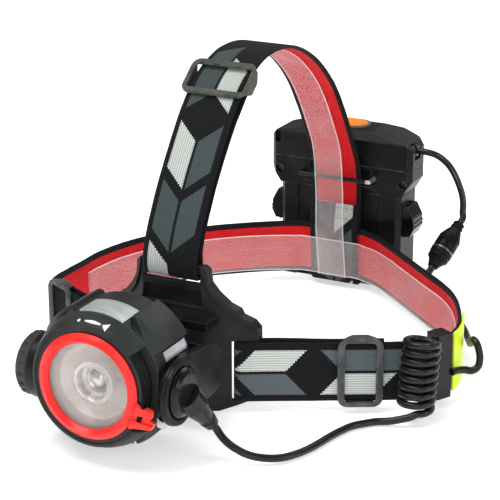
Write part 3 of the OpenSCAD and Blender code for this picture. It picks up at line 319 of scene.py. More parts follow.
def metal(name, colour, roughness=0.3, brushed=(1, 1, 1)):
    finish = Finish(name, metallic=1.0)
    streak = finish.grain(0.5, 4, brushed)
    cloud = finish.grain(6, 3)
    finish.give("baseColor", finish.blend(cloud.rise(0.35, 0.75), colour, scaled(colour, 0.82)))
    finish.give("roughness", roughness + (streak - 0.5) * 0.16 + (cloud - 0.5) * 0.1)
    return finish.relief(streak, 0.004, 0.15)


# ---- camera, floor and light

studio = {
    "cameraAt": (0.31435, -0.6370, 0.2981), "turn": 26.7, "tilt": 19.4, "lens": 129.7, "sensor": 36,
    "floorHalf": 3.0, "floorAt": -0.0003, "floor": tint(246, 246, 246), "floorPale": tint(247, 247, 248),
    "glow": 0.49, "world": 0.18,
    "lights": [  # name, place, aims at, size, watts
        ("keyLight", (-0.3, -0.35, 1.25), (0, 0, 0.05), 0.8, 15.5),
        ("fillLight", (0.5, -1.1, 0.5), (0, 0, 0.05), 0.8, 5),
        ("sideLight", (1.2, -0.1, 0.45), (0.03, -0.05, 0.03), 0.6, 4.5),
        ("backLight", (0.2, 1.0, 0.9), (0, 0, 0.06), 0.9, 5),
    ],
}


def setUpStudio(values):
    a, e = math.radians(values["turn"]), math.radians(values["tilt"])
    back = Vector((math.sin(a) * math.cos(e), -math.cos(a) * math.cos(e), math.sin(e)))
    camera = newObject("camera", bpy.data.cameras.new("camera"))
    camera.location = values["cameraAt"]
    camera.rotation_euler = back.to_track_quat("Z", "Y").to_euler()
    camera.data.lens = values["lens"]
    camera.data.sensor_width = values["sensor"]
    bpy.context.scene.camera = camera

    half = values["floorHalf"]
    corners = [(x * half, y * half, values["floorAt"]) for x, y in ((-1, -1), (1, -1), (1, 1), (-1, 1))]
    floor = meshPiece("floor", corners, [(0, 1, 2, 3)])
    paper = Finish("paper", roughness=0.9, specularIorLevel=0.1, emissionColor=(1, 1, 1, 1),
                   emissionStrength=values["glow"])
    cloud = paper.grain(300, 2).rise(0.3, 0.7)
    paper.give("baseColor", paper.blend(cloud, values["floor"], values["floorPale"]))
    dress(floor, paper)

    for name, at, target, size, watts in values["lights"]:
        light = bpy.data.lights.new(name, "AREA")
        light.size = size
        light.energy = watts
        holder = newObject(name, light)
        holder.location = at
        holder.rotation_euler = (Vector(at) - Vector(target)).to_track_quat("Z", "Y").to_euler()

    world = bpy.data.worlds.new("studioSky")
    world.use_nodes = True
    world.node_tree.nodes["Background"].inputs[0].default_value = (1, 1, 1, 1)
    world.node_tree.nodes["Background"].inputs[1].default_value = values["world"]
    bpy.context.scene.world = world
    bpy.context.scene.view_settings.view_transform = "Standard"
    print("studio ready")


setUpStudio(studio)

# ---- the lead: three runs of 3 mm cord, a wound length, and the plug and socket on it

lead = {
    "diameter": 3.0, "ground": 1.6,
    "gland": Vector((32.1, 96.1, 66.5)),
    "plugTop": Vector((66, 71, 43.2)), "plugLength": 15.5, "plugEntry": 3.3,
    "socketEnd": Vector((61.4, 51.4, 28.6)), "socketExit": 1.5,
    "clipAt": Vector((94.6, -24.2, 16)), "clipTurn": math.radians(61.5), "clipAlong": 3.6, "clipAside": 2.9,
    "clipLength": 7.2, "clipBelow": Vector((0, 0, 2)), "clipAbove": Vector((0, 0, 12)),
    "bootRoot": Vector((31.7, -119.6, 28.9)), "bootEnd": Vector((36.9, -109.6, 14.6)), "straight": 3.1,
    "coilFoot": Vector((89.2, -50.8, 3.1)),
    "coilLow": Vector((91.7, -42.9, 5.2)), "coilTop": Vector((93.2, -41.7, 31.8)),
    "coilOuter": 15.4, "coilPitch": 3.55, "coilTurns": 8, "coilStart": -40, "pointsPerTurn": 16,
}
plugDir = (lead["socketEnd"] - lead["plugTop"]).normalized()
jointAt = lead["plugTop"] + lead["plugLength"] * plugDir
clipDir = Vector((math.cos(lead["clipTurn"]), math.sin(lead["clipTurn"]), 0))
clipOut = Vector((math.sin(lead["clipTurn"]), -math.cos(lead["clipTurn"]), 0))
clipHole = lead["clipAt"] + lead["clipAlong"] * clipDir + lead["clipAside"] * clipOut
bootDir = (lead["bootEnd"] - lead["bootRoot"]).normalized()


def cordFinish():
    finish = Finish("cordRubber", specularIorLevel=0.3, coatWeight=0.05, coatRoughness=0.25)
    cloud = finish.grain(9, 3)
    dusty = finish.grain(0.8, 3).rise(0.62, 0.8) * 0.35
    finish.give("baseColor", finish.blend(dusty, tint(11, 12, 13), tint(38, 39, 40)))
    finish.give("roughness", 0.36 + (cloud - 0.5) * 0.2)
    return finish.relief(finish.grain(0.5, 2), 0.012)


cordBlack = cordFinish()


def cordPiece(name, points, node):
    diameter = lead["diameter"]
    curve = bpy.data.curves.new(name, "CURVE")
    curve.dimensions = "3D"
    curve.bevel_depth = diameter / 2000
    curve.bevel_resolution = 6
    curve.use_fill_caps = True
    curve.resolution_u = 6
    spline = curve.splines.new("BEZIER")
    spline.bezier_points.add(len(points) - 1)
    for knot, p in zip(spline.bezier_points, points):
        knot.co = place(*p)
        knot.handle_left_type = knot.handle_right_type = "AUTO"
    spline.resolution_u = 6
    piece = newObject(name, curve)
    curve.materials.append(cordBlack.material)
    bpy.context.view_layer.update()
    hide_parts(node)
    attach(piece, "harness")
    place(*points[0])
    return piece


# outlines of the connector in mm, as (radius, distance along it)
connector = {
    "plug": [(0, 0), (2.3, 0), (2.6, 0.25), (2.6, 0.85), (2.15, 1.15), (2.15, 1.75), (2.5, 1.95), (2.8, 2.15),
             (2.8, 2.85), (2.3, 3.1), (2.3, 3.7), (2.7, 3.9), (3.05, 4.2), (3.5, 5.2), (4.3, 7.2), (4.75, 8.4),
             (5, 9.0), (5, 9.6), (4.86, 9.8), (4.86, 10.2), (5, 10.4), (5, 14.9), (4.85, 15.3), (4.4, 15.5)],
    "cup": [(4.4, 0), (4.85, 0.2), (5, 0.5), (5, 2.6), (4.8, 2.95), (4.5, 3.1), (4.5, 3.8), (4.8, 4.1),
            (4.7, 4.8)],
    "taper": [(3.9, -4), (3.0, -2), (2.45, -0.8), (2.25, 0)],  # counted back from the socket's end
    "ring": [(4.6, 0), (5.05, 0.1), (5.12, 0.35), (5.12, 0.75), (5.05, 1.0), (4.6, 1.1)], "ringAt": 0.1,
}


def plugPieces(values, outlines):
    rubber = moulded("plugRubber", tint(7, 8, 9), 0.36, 0.4, 0.015, worn=tint(62, 64, 66), wearAndHighlightAmount=0.6,
                     gloss=0.08)
    end = place(*values["socketEnd"])
    plug = dress(turnedPiece("plugBody", place(*values["plugTop"]), place(*jointAt), outlines["plug"]), rubber)
    reach = (values["socketEnd"] - jointAt).length
    cup = outlines["cup"] + [(radius, reach + back) for radius, back in outlines["taper"]]
    socket = dress(turnedPiece("socketBody", place(*jointAt), end, cup), rubber)
    ring = turnedPiece("socketRing", place(*(jointAt + outlines["ringAt"] * plugDir)), end, outlines["ring"])
    dress(ring, metal("ringSteel", tint(112, 114, 116), 0.3))
    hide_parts("plug")
    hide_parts("socket")
    for piece, slotName in ((plug, "cord_black"), (socket, "cord_black"), (ring, "screw_steel")):
        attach(piece, "harness")
    return plug, socket, ring


def coilRoute(values):
    axis = (values["coilTop"] - values["coilLow"]).normalized()
    across = Vector((1, -0.4, 0))
    u = (across - across.dot(axis) * axis).normalized()
    v = axis.cross(u)
    radius = (values["coilOuter"] - values["diameter"]) / 2
    perTurn, foot = values["pointsPerTurn"], values["coilFoot"]
    turns = []
    for i in range(values["coilTurns"] * perTurn + 1):
        a = math.radians(360 * i / perTurn + values["coilStart"])
        turns.append(values["coilLow"] + axis * values["coilPitch"] * i / perTurn
                     + radius * (math.cos(a) * u + math.sin(a) * v))
    head = clipHole + values["clipAbove"] - values["clipLength"] * clipDir
    return ([foot, foot + Vector((3, 1, 1))] + turns
            + [turns[-1] + Vector((3.2, 2, 0.2)), head - Vector((-0.6, 6.6, -2)),
               head - values["straight"] * clipDir, head])


plug, socket, socketRing = plugPieces(lead, connector)
gland, foot, clipEnd = lead["gland"], lead["coilFoot"], clipHole - lead["clipBelow"]
packRoute = [
    gland + Vector((3.4, 0, 0)), gland + Vector((6.6, 0, 0)), gland + Vector((9.4, 0.4, -0.4)),
    (44, 97.5, 65.2), (46.3, 97.3, 64.3), (48.4, 96.8, 63.2), (50.4, 96.3, 61.9), (52.2, 95.6, 60.4),
    (55.4, 93.4, 57.4), (58.4, 90.2, 54.6), (61.4, 86, 51.8), (63.8, 81.2, 49.2), (65.4, 76.6, 46.9),
    lead["plugTop"] - lead["plugEntry"] * plugDir, lead["plugTop"]]
clipRoute = [
    lead["socketEnd"], lead["socketEnd"] + lead["socketExit"] * plugDir,
    (60.8, 48.2, 26.2), (61.8, 47.6, 23.2), (65.4, 46, 20), (70, 42.5, 17.4), (75.5, 37.6, 15.4),
    (81.4, 31.4, 14.2), (86.8, 24, 13.6), (91.4, 15.6, 14), (95.4, 7, 15.6), (98.8, -1, 18.4),
    (101.4, -6.6, 21.8), (103.2, -9.8, 24), (105, -11.4, 23.2), (106.4, -12.2, 20.4), (107, -12.8, 17),
    (106.6, -14, 14.4), (104.8, -15.6, 13.2), (102.4, -16.8, 13.5), clipEnd + lead["straight"] * clipDir, clipEnd]
onGround = [(80.2, -54.2), (77, -57.4), (73.4, -62), (71.2, -68), (69.6, -74.4), (68.4, -81), (66.8, -88)]
rising = [(64.4, -95, 0.2), (60.8, -101, 0.5), (56, -105, 1.2), (51, -107.4, 2.4), (46.6, -108.4, 4.2),
          (42.6, -108.4, 6.2), (39.6, -108, 8.4)]
lampRoute = ([foot, foot - Vector((3, 1, 0.8)), (83.5, -52.7, 1.8)]
             + [(x, y, lead["ground"]) for x, y in onGround]
             + [(x, y, lead["ground"] + lift) for x, y, lift in rising]
             + [lead["bootEnd"] + lead["straight"] * bootDir, lead["bootEnd"]])
cordPiece("packLead", packRoute, "pack_lead")
cordPiece("clipLead", clipRoute, "clip_lead")
cordPiece("coilLead", coilRoute(lead), "coil_lead")
cordPiece("lampLead", lampRoute, "lamp_lead")
print("leads laid")

# ---- webbing: 25 mm elastic with a leaf pattern outside and a red face inside

tape = {
    "width": 25.0, "strapWide": 24.0, "thick": 1.5, "mid": 17.0, "steps": 8, "lean": -0.035,
    "seat": 0.3, "layer": 1.05,
    "plate": 3.0, "plateFlat": 13.0, "plateFront": 73.0, "wingAngle": math.radians(28), "slotOut": 16.0,
    "sliderAt": 62.5, "sliderTop": 2.65,
    "bar": (-71.5, 57.8), "barAbove": 3.5, "turn": (82, 4.5), "turnRadius": 1.8,
    "repeat": 165.0, "badgeOnBand": 43.6, "badgeOnStrap": 158.0, "tailAt": -17.0, "tailPoints": 7,
    "black": tint(19, 20, 23), "white": tint(206, 211, 205), "grey": tint(90, 100, 103), "red": tint(214, 24, 32),
    # painted shade: the top strap's white and grey are darker copies of the band's, for the stronger top light it
    # gets
    "strapWhitePaintedShade": tint(192, 199, 193), "strapGreyPaintedShade": tint(68, 78, 78),
    "redShadow": tint(120, 12, 20), "redLight": tint(232, 52, 52), "fluff": tint(120, 122, 126),
}
wrapRadius = tape["plate"] / 2 + tape["layer"]


def onWing(s, off):  # a point along the plate's right wing, off it outwards
    across, back = math.cos(tape["wingAngle"]), math.sin(tape["wingAngle"])
    return Vector((tape["plateFlat"] + s * across + off * back, -tape["plateFront"] + s * back - off * across))


def flipped(points):
    return [Vector((-p[0], p[1])) for p in reversed(points)]


def beside(line, off):  # off to the outside of the loop
    return [p + off * Vector((h[1], -h[0])) for p, h in zip(line, headings(line))]


def arc(x, y, radius, degrees):
    return [Vector((x + radius * math.cos(math.radians(a)), y + radius * math.sin(math.radians(a))))
            for a in degrees]


halfTurn = range(0, -181, -45)
slot, sliderAt, outside = tape["slotOut"], tape["sliderAt"], tape["layer"]
behind, inSlider = -tape["plate"] - tape["layer"], -tape["sliderTop"]
wingReturn = [onWing(s, off) for s, off in (
    (sliderAt + 9.5, inSlider), (sliderAt, inSlider), (sliderAt - 12, inSlider),
    (slot + 14, behind), (slot + 4, behind))]
wingReturn += [onWing(slot + p[0], p[1]) for p in arc(0, -tape["plate"] / 2, wrapRadius, range(-90, -271, -45))]
wingReturn += [onWing(s, outside) for s in (slot + 4, slot + 20, sliderAt - 14, sliderAt, sliderAt + 9)]
bandLoop = [
    (88.4, -32.8), (95, -25), (96.7, -16), (95, -5), (90, 8), (83, 21), (74, 32), (63, 42), (50, 54), (37, 66),
    (26, 75.6), (17.5, 80.8), (13.5, 81.9), (0, 82), (-13.5, 81.9), (-17.5, 80.8), (-26, 75.6),
    (-39, 66), (-52, 54), (-62, 41), (-71, 27), (-76, 14), (-78.5, 0), (-78.8, -13), (-79, -23), (-79.1, -30),
    (-78.9, -34.8), (-78.1, -38.1)]
bandLine = lineThrough(wingReturn + bandLoop + flipped(wingReturn), tape["steps"])

barY, barZ = tape["bar"]
turnY, turnZ = tape["turn"]
hangY, backY = turnY + tape["turnRadius"], turnY - tape["turnRadius"]
strapLine = lineThrough(
    [(-17, 122.6), (-24, 119.7), (-34.3, 111.2), (-44.6, 100.9), (-54.8, 88.8), (-63.6, 76), (-68.4, 67),
     (barY + wrapRadius, barZ + tape["barAbove"])]
    + arc(barY, barZ, wrapRadius, halfTurn) + [(barY - wrapRadius, barZ + tape["barAbove"])]
    + [(-72.3, 66.5), (-66, 78), (-57, 91), (-47, 103.3), (-37, 114), (-26, 122.8), (-12, 128.6), (2, 130.4),
       (18, 128.4), (34, 122.2), (48, 113), (60, 101.5), (70, 87), (78.6, 71.5), (84.2, 60), (85.3, 50),
       (84.6, 40)]
    + [(hangY, z) for z in (30.5, 14.5, 7.5)] + arc(turnY, turnZ, tape["turnRadius"], halfTurn)
    + [(backY, z) for z in (7.5, 14.5, 30.5)] + [(81.6, 36.5), (82.4, 40.5)],
    tape["steps"])


def onStrap(x, p):  # a point of the top strap, which leans a little sideways as it rises
    return place(x + tape["lean"] * (p[1] - barZ), p[0], p[1])


def tapeMesh(name, centre, across, outward, width, thick, start=0.0, waver=0.12, turnedFrom=None, turnedAt=0.0):
    # a strap along centre (metres), with its own coordinates in mm and its inner face on the second finish;
    # from station turnedFrom on, the pattern is mirrored and reaches turnedAt at the far end
    half, t = width / 2, thick / 2
    # its section, as a place across in mm and a share of half the thickness
    crown = [(-half + 0.9 + k * (width - 1.8) / 16, 1.0) for k in range(17)]
    top = [(-half + 0.35, 0.62)] + crown + [(half - 0.35, 0.62)]
    side = [(half, 0.15), (half, -0.15)]
    section = top + side + [(c, -n) for c, n in reversed(top)] + [(-c, -n) for c, n in side]
    count = len(section)
    run = lengths(centre)
    points, faces, corners, inside = [], [], [], []
    for i, p in enumerate(centre):
        drift = noise.noise(Vector((run[i] * 60, width, 3.0))) * waver / 1000
        for c, n in section:
            edge = abs(c / half) ** 6 * noise.noise(Vector((run[i] * 150, c * 0.2, 9.0))) * waver / 1000
            points.append(p + across[i] * (c / 1000 + drift) + outward[i] * (n * t / 1000 + edge))
    for i in range(len(centre) - 1):
        for k in range(count):
            m = (k + 1) % count
            faces.append((i * count + k, (i + 1) * count + k, (i + 1) * count + m, i * count + m))
            a, b = section[k][0], section[m][0]
            begin = start
            if turnedFrom is not None and i >= turnedFrom:
                begin, a, b = turnedAt - run[-1] * 1000, -a, -b
            u0, u1 = run[i] * 1000 + begin, run[i + 1] * 1000 + begin
            corners += [(u0, a), (u1, a), (u1, b), (u0, b)]
            inside.append(section[k][1] < 0 and section[m][1] < 0)
    for i in (0, len(centre) - 1):
        around = range(count)[::1 if i else -1]
        faces.append([i * count + k for k in around])
        corners += [(run[i] * 1000 + start, section[k][0]) for k in around]
        inside.append(False)
    mesh = bpy.data.meshes.new(name)
    mesh.from_pydata([tuple(p) for p in points], [], faces)
    layerUv = mesh.uv_layers.new(name="tape")
    for corner, uv in zip(layerUv.data, corners):
        corner.uv = uv
    for face, isInside in zip(mesh.polygons, inside):
        face.material_index = int(isInside)
        face.use_smooth = len(face.vertices) == 4
    return newObject(name, mesh)


def weave(along, across, rib=1.0, stitch=1.25):
    # rows of small knitted stitches, 0 to 1, and the grooves between the rows
    row = (across / rib + 200).floor()
    inRow = abs((across / rib * math.pi).sine())
    step = abs(((along / stitch + (row % 2) * 0.5) * math.pi).sine())
    return inRow ** 0.6 * (0.55 + 0.45 * step), inRow, step


# the leaf pattern in mm: where each leaf starts and stops on both sides of a badge's place and of the middle
leaf = {
    "beforeLeft": [(11.2, 31.6, "pale"), (36.4, 56.8, "mid"), (61.6, 82, "pale")],
    "beforeRight": [(11.2, 31.6, "mid"), (36.4, 56.8, "mid")],
    "afterLeft": [(11.4, 45.0, "mid")], "afterRight": [(11.4, 33.5, "pale")],
    "before": 0.545, "span": 100, "slant": 0.92, "stepped": 0.7, "near": 0.62, "far": 9.45, "scallop": 0.16,
}


def tapePattern(name, pale, mid):
    finish = Finish(name, sheenWeight=0.03, sheenRoughness=0.5, specularIorLevel=0.12)
    along, across = finish.alongUv()
    ribs, inRow, step = weave(along, across)
    near = abs(across)
    repeat = tape["repeat"]
    before = repeat * leaf["before"]
    fromBadge = ((along + before) % repeat) - before
    # whole stitches, so that every outline runs in small steps
    stepped = (near.floor() + 0.5) * leaf["stepped"] + near * (1 - leaf["stepped"])
    reach = abs(fromBadge) + leaf["slant"] * stepped
    none = tape["black"]
    colours = {"pale": pale, "mid": mid}

    def leaves(where):
        stops = [(0.0, none)]
        for start, stop, colour in leaf[where]:
            stops += [(start / leaf["span"], colours[colour]), (stop / leaf["span"], none)]
        return finish.add("ShaderNodeValToRGB", {"steps": "CONSTANT", "stops": stops},
                          {0: reach / leaf["span"]})

    left, after = across < 0, fromBadge > 0
    ahead = finish.blend(left, leaves("beforeRight"), leaves("beforeLeft"))
    behind = finish.blend(left, leaves("afterRight"), leaves("afterLeft"))
    chosen = finish.blend(after, ahead, behind)
    scallop = ((along * 2 * math.pi).sine()) * leaf["scallop"]
    inLeaf = (near > leaf["near"] + scallop * 0.7) * (near < leaf["far"] + scallop)
    colour = finish.blend(inLeaf, none, chosen)
    # painted shade: dark dashes in the grooves between rows, deeper on paler yarn, and uneven yarn
    bright = finish.add("ShaderNodeRGBToBW", {}, {0: colour})
    grooveShade = (1 - inRow).rise(0.3, 0.75) * step.rise(0.35, 0.85)
    shade = 1 - grooveShade * (0.2 + 0.34 * bright.rise(0.02, 0.5)) - (1 - ribs) * 0.14
    yarn = finish.grain(0.55, 2)
    shadedYarn = finish.shaded(colour, shade * (0.9 + 0.2 * yarn))
    fluff = finish.grain(0.35, 2).rise(0.62, 0.82) * 0.108
    finish.give("baseColor", finish.blend(fluff, shadedYarn, tape["fluff"]))
    finish.give("roughness", 0.82 - 0.1 * yarn)
    return finish.relief(ribs + yarn * 0.25, 0.22)


def tapeInside():
    finish = Finish("tapeInside", sheenWeight=0.03, sheenRoughness=0.5, specularIorLevel=0.12)
    along, across = finish.alongUv()
    ribs, inRow = weave(along, across, 0.9, 1.1)[:2]
    scallop = ((along * 2 * math.pi / 1.2).sine()) * 0.2
    isRed = abs(across) < 9.9 + scallop
    yarn = finish.grain(0.6, 2)
    cloud = finish.grain(12, 2)
    red = finish.blend((1 - inRow).rise(0.4, 0.9) * 0.55, tape["red"], tape["redShadow"])
    red = finish.blend(cloud.rise(0.4, 0.7) * 0.3, red, tape["redLight"])
    finish.give("baseColor", finish.shaded(finish.blend(isRed, tape["black"], red), 0.82 + 0.26 * yarn))
    finish.give("roughness", 0.8 - 0.1 * yarn)
    return finish.relief(ribs + yarn * 0.2, 0.18)


tapeRed = tapeInside()


def makeBand():
    centre = [place(p[0], p[1], tape["mid"]) for p in bandLine]
    outward = [Vector((h[1], -h[0], 0)) for h in headings(bandLine)]
    run = lengths(bandLine)
    badgeAt = onWing(tape["badgeOnBand"], tape["layer"])
    badge = min(range(len(bandLine) // 3), key=lambda i: (bandLine[i] - badgeAt).length)
    band = tapeMesh("headbandTape", centre, [Vector((0, 0, -1))] * len(centre), outward, tape["width"],
                    tape["thick"], start=-run[badge])
    dress(band, tapePattern("bandPattern", tape["white"], tape["grey"]), tapeRed)
    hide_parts("headband")
    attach(band, "harness")
    print("headband is", round(run[-1]), "mm of tape")


def makeStrap():
    centre = [onStrap(0, p) for p in strapLine]
    outward = [Vector((0, -h[1], h[0])) for h in headings(strapLine)]
    run = lengths(strapLine)
    strap = tapeMesh("topStrapTape", centre, [Vector((1, 0, 0))] * len(centre), outward, tape["strapWide"],
                     tape["thick"], start=-tape["badgeOnStrap"],
                     turnedFrom=len(centre) - 1 - tape["tailPoints"] * tape["steps"], turnedAt=tape["tailAt"])
    # the strap's pattern takes the darker copies of the white and grey, a painted shade
    dress(strap, tapePattern("strapPattern", tape["strapWhitePaintedShade"], tape["strapGreyPaintedShade"]), tapeRed)
    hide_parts("top_strap")
    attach(strap, "harness")
    print("top strap is", round(run[-1]), "mm of tape")


makeBand()
makeStrap()


# ---- the clear grip strips inside, their thicker rim drawn paler and less clear

grips = {
    "thick": 0.8, "bandWide": 17.4, "bandMid": 14.6, "strapWide": 14.0, "strapX": -2.2,
    "driftBelow": 52.6, "drift": 0.045, "body": tint(238, 226, 226), "rim": tint(246, 250, 250),
}


def gripFinish(name, width):
    finish = Finish(name, roughness=0.3, specularIorLevel=0.3, coatWeight=0.12, coatRoughness=0.12)
    along, across = finish.alongUv()
    rim = abs(across).rise(width / 2 - 0.6, width / 2 - 0.3)
    cloud = finish.grain(22, 3).rise(0.3, 0.75)
    streak = finish.add("ShaderNodeCombineXYZ", {}, {0: along / 9000, 1: across / 1000})
    streak = finish.grain(3, 3, (1, 1, 1), streak).rise(0.35, 0.8)
    finish.give("baseColor", finish.blend(rim, grips["body"], grips["rim"]))
    finish.give("alpha", 0.1 + 0.05 * cloud + 0.04 * streak + 0.34 * rim)
    return finish.relief(streak, 0.006)


def makeGrip(name, line, width, node, asPoint, across, outwardOf):
    centre = [asPoint(p) for p in line]
    outward = [outwardOf(h) for h in headings(line)]
    strip = tapeMesh(name, centre, [across] * len(centre), outward, width, grips["thick"], waver=0.05)
    finish = gripFinish(name + "Silicone", width)
    dress(strip, finish, finish)
    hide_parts(node)
    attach(strip, "harness")


gripOff = -(tape["thick"] / 2 + tape["seat"] + grips["thick"] / 2)
gripStep = tape["thick"] + tape["seat"]
steps = tape["steps"]
bandGrip = beside(lineThrough(
    [(96.1, -12), (94, -3), (90, 8), (83, 21), (74, 32), (63, 42), (50, 54), (37, 66), (26, 74.6)]
    + [(x, y - gripStep) for x, y in ((18, 80.2), (13.5, 81.9), (0, 82), (-13.5, 81.9), (-18, 80.2))]
    + [(-26, 74.6), (-39, 66), (-52, 54), (-62, 41), (-71, 27), (-76, 14), (-78.5, 0), (-78.8, -10)],
    steps), gripOff)
makeGrip("bandGrip", bandGrip, grips["bandWide"], "headband_grip",
         lambda p: place(p[0], p[1], grips["bandMid"]), Vector((0, 0, -1)), lambda h: Vector((h[1], -h[0], 0)))
overHead = lineThrough(
    [(2, 130.4), (18, 128.4), (34, 122.2), (48, 113), (60, 101.5), (70, 87), (78.6, 71.5), (84.2, 60)], steps)
alongPack = lineThrough(
    [(70, 87), (77.2, 70.8), (79.7, 61), (80.2, 52.6), (80, 46), (79.2, 39.5), (78.1, 32.5), (77.5, 26),
     (77.4, 17), (77.4, 6)], steps)
strapGrip = beside(overHead, -gripOff)[:6 * steps + 1] + alongPack[steps + 3:]
makeGrip("strapGrip", strapGrip, grips["strapWide"], "top_strap_grip",
         lambda p: onStrap(grips["strapX"] + grips["drift"] * max(grips["driftBelow"] - p[1], 0), p),
         Vector((1, 0, 0)), lambda h: Vector((0, -h[1], h[0])))
print("webbing made")


# ---- stitches

sewing = {
    "pitch": 2.4, "length": 1.7, "thick": 0.32, "rise": 0.22, "sunk": 0.06, "rings": 7, "sides": 8,
    "rows": [(81.35, 38.9), (80.45, 34.2)], "half": 11, "before": 0.8, "colour": tint(24, 24, 26),
}


def stitchRow(name, start, stop, outward, values):
    # a row of short threads from start to stop, lying on a face with that outward direction
    along = (stop - start).normalized()
    side = outward.cross(along).normalized()
    rings, sides = values["rings"], values["sides"]
    points, faces = [], []
    count = int((stop - start).length * 1000 / values["pitch"])
    for k in range(count):
        base = start + along * (k + 0.5) * (stop - start).length / count
        ringAt = len(points)
        for i in range(rings):
            t = i / (rings - 1) - 0.5
            lift = values["rise"] * math.cos(t * math.pi) - values["sunk"]
            radius = values["thick"] / 2 * (0.55 + 0.45 * math.cos(t * math.pi))
            for q in range(sides):
                a = 2 * math.pi * q / sides
                points.append(base + along * t * values["length"] / 1000
                              + outward * (lift + radius * math.sin(a)) / 1000
                              + side * radius * math.cos(a) / 1000)
        for i in range(rings - 1):
            here, after = ringAt + i * sides, ringAt + (i + 1) * sides
            for q in range(sides):
                m = (q + 1) % sides
                faces.append((here + q, here + m, after + m, after + q))
    thread = facesTowards(meshPiece(name, points, faces))
    finish = Finish(name + "Thread", roughness=0.6, sheenWeight=0.2)
    lighter = scaled(values["colour"], 1.6)
    finish.give("baseColor", finish.blend(finish.grain(0.4, 2).rise(0.3, 0.7), values["colour"], lighter))
    finish.relief(finish.grain(0.2, 1, (1, 1, 4)), 0.05)
    dress(thread, finish)
    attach(thread, "harness")
    return thread


def stitchedEnd(values):
    # the strap's end, sewn to itself above the headband
    outward = Vector((0, -0.95, 0.3)).normalized()
    for i, (y, z) in enumerate(values["rows"]):
        ends = [place(side * values["half"], y - values["before"], z) for side in (-1, 1)]
        stitchRow("endStitches" + str(i), ends[0], ends[1], outward, values)


stitchedEnd(sewing)

# ---- moulded plastic, rubber and metal

plastics = [  # name, colour, roughness, grain size and depth in mm, edge colour (wear and painted highlight), more, parts
    ("plateGrey", (27, 29, 27), 0.46, 0.3, 0.02, (112, 114, 110), {"edgeRadius": 0.5}, ["base_plate"]),
    ("frameBlack", (18, 19, 19), 0.32, 0.3, 0.012, (84, 86, 88), {"wearAndHighlightAmount": 0.45, "edgeRadius": 0.6},
     ["yoke"]),
    ("housingGrey", (41, 45, 42), 0.46, 0.28, 0.014, (98, 103, 100), {"wearAndHighlightAmount": 0.4, "edgeRadius": 1.1},
     ["lamp_housing", "rear_cover"]),
    ("softBlack", (12, 13, 14), 0.2, 0.5, 0.006, (96, 98, 100),
     {"wearAndHighlightAmount": 0.4, "edgeRadius": 0.5, "coat": 0.2}, ["cable_boot", "cable_gland", "lead_clip"]),
    ("barrelBlack", (28, 31, 30), 0.3, 0.4, 0.008, (96, 100, 98), {"edgeRadius": 0.3, "coat": 0.2},
     ["guide_barrel", "lens_carrier", "pivot_pins", "power_switch"]),
    ("knobRubber", (54, 56, 53), 0.52, 0.3, 0.02, (78, 80, 79), {"wearAndHighlightAmount": 0.6, "edgeRadius": 0.5},
     ["brightness_knob"]),
    # painted highlight: the pack's and the latches' pale edge colours stand partly for light caught along their
    # chamfers
    ("packBlack", (15, 16, 15), 0.36, 0.26, 0.012, (150, 150, 142), {"wearAndHighlightAmount": 0.6, "edgeRadius": 0.5},
     ["pack_hood", "pack_cap", "cell_case"]),
    ("latchBlack", (8, 9, 10), 0.26, 0.3, 0.01, (176, 178, 180),
     {"wearAndHighlightAmount": 0.8, "edgeRadius": 0.5, "coat": 0.2}, ["latch_right", "latch_left"]),
    ("ringRed", (238, 44, 40), 0.34, 0.35, 0.01, (255, 112, 88),
     {"wearAndHighlightAmount": 0.8, "edgeRadius": 0.5, "dust": 0.03, "coat": 0.25}, ["zoom_ring"]),
    ("buttonOrange", (246, 138, 44), 0.42, 0.4, 0.012, (255, 176, 100), {"dust": 0.03}, ["push_button"]),
    ("bezelGrey", (92, 100, 95), 0.4, 0.4, 0.01, (140, 146, 142), {"edgeRadius": 0.3}, ["button_bezel"]),
    ("sealRubber", (22, 22, 23), 0.6, 0.4, 0.02, None, {}, ["ring_seal", "case_seal"]),
    ("sliderOlive", (64, 65, 58), 0.48, 0.3, 0.02, (140, 141, 132),
     {"wearAndHighlightAmount": 0.8, "edgeRadius": 0.6, "dust": 0.12}, ["slider_top"]),
    ("sliderGrey", (64, 66, 68), 0.5, 0.9, 0.05, (132, 135, 138),
     {"wearAndHighlightAmount": 0.9, "edgeRadius": 0.6, "dust": 0.2}, ["slider_right", "slider_left"]),
    ("tagYellow", (222, 246, 26), 0.4, 0.5, 0.02, (244, 255, 120), {"dust": 0.02}, ["safety_tag"]),
    ("emitterYellow", (242, 214, 92), 0.3, 0.2, 0.005, None, {"coat": 0.6}, ["led_emitter"]),
    ("boardGreen", (24, 92, 56), 0.35, 0.6, 0.006, (196, 160, 90), {"coat": 0.3},
     ["driver_board", "charge_board"]),
    ("cellWrap", (40, 78, 150), 0.32, 1.2, 0.006, None, {"coat": 0.4}, ["cells"]),
]
metals = [  # name, colour, roughness, stretch of the brushing, parts
    ("screwSteel", (96, 97, 98), 0.34, (1, 1, 1), ["yoke_screws", "rear_screws", "hood_screws"]),
    ("aluminium", (196, 198, 200), 0.34, (1, 1, 6), ["heat_sink", "led_board", "cell_springs"]),
    ("contactMetal", (206, 176, 112), 0.28, (1, 1, 1), ["top_contacts"]),
]
silvers = [  # name, colour, stretch of the shading, part
    ("topSilver", (176, 181, 177), (1, 3, 1), "top_inlay"),
    # painted light: the side inlays get a brighter silver than the top inlay, standing for the light they catch
    # from the right
    ("sideSilverPaintedLight", (216, 218, 226), (1, 1, 3), "side_inlays"),
]


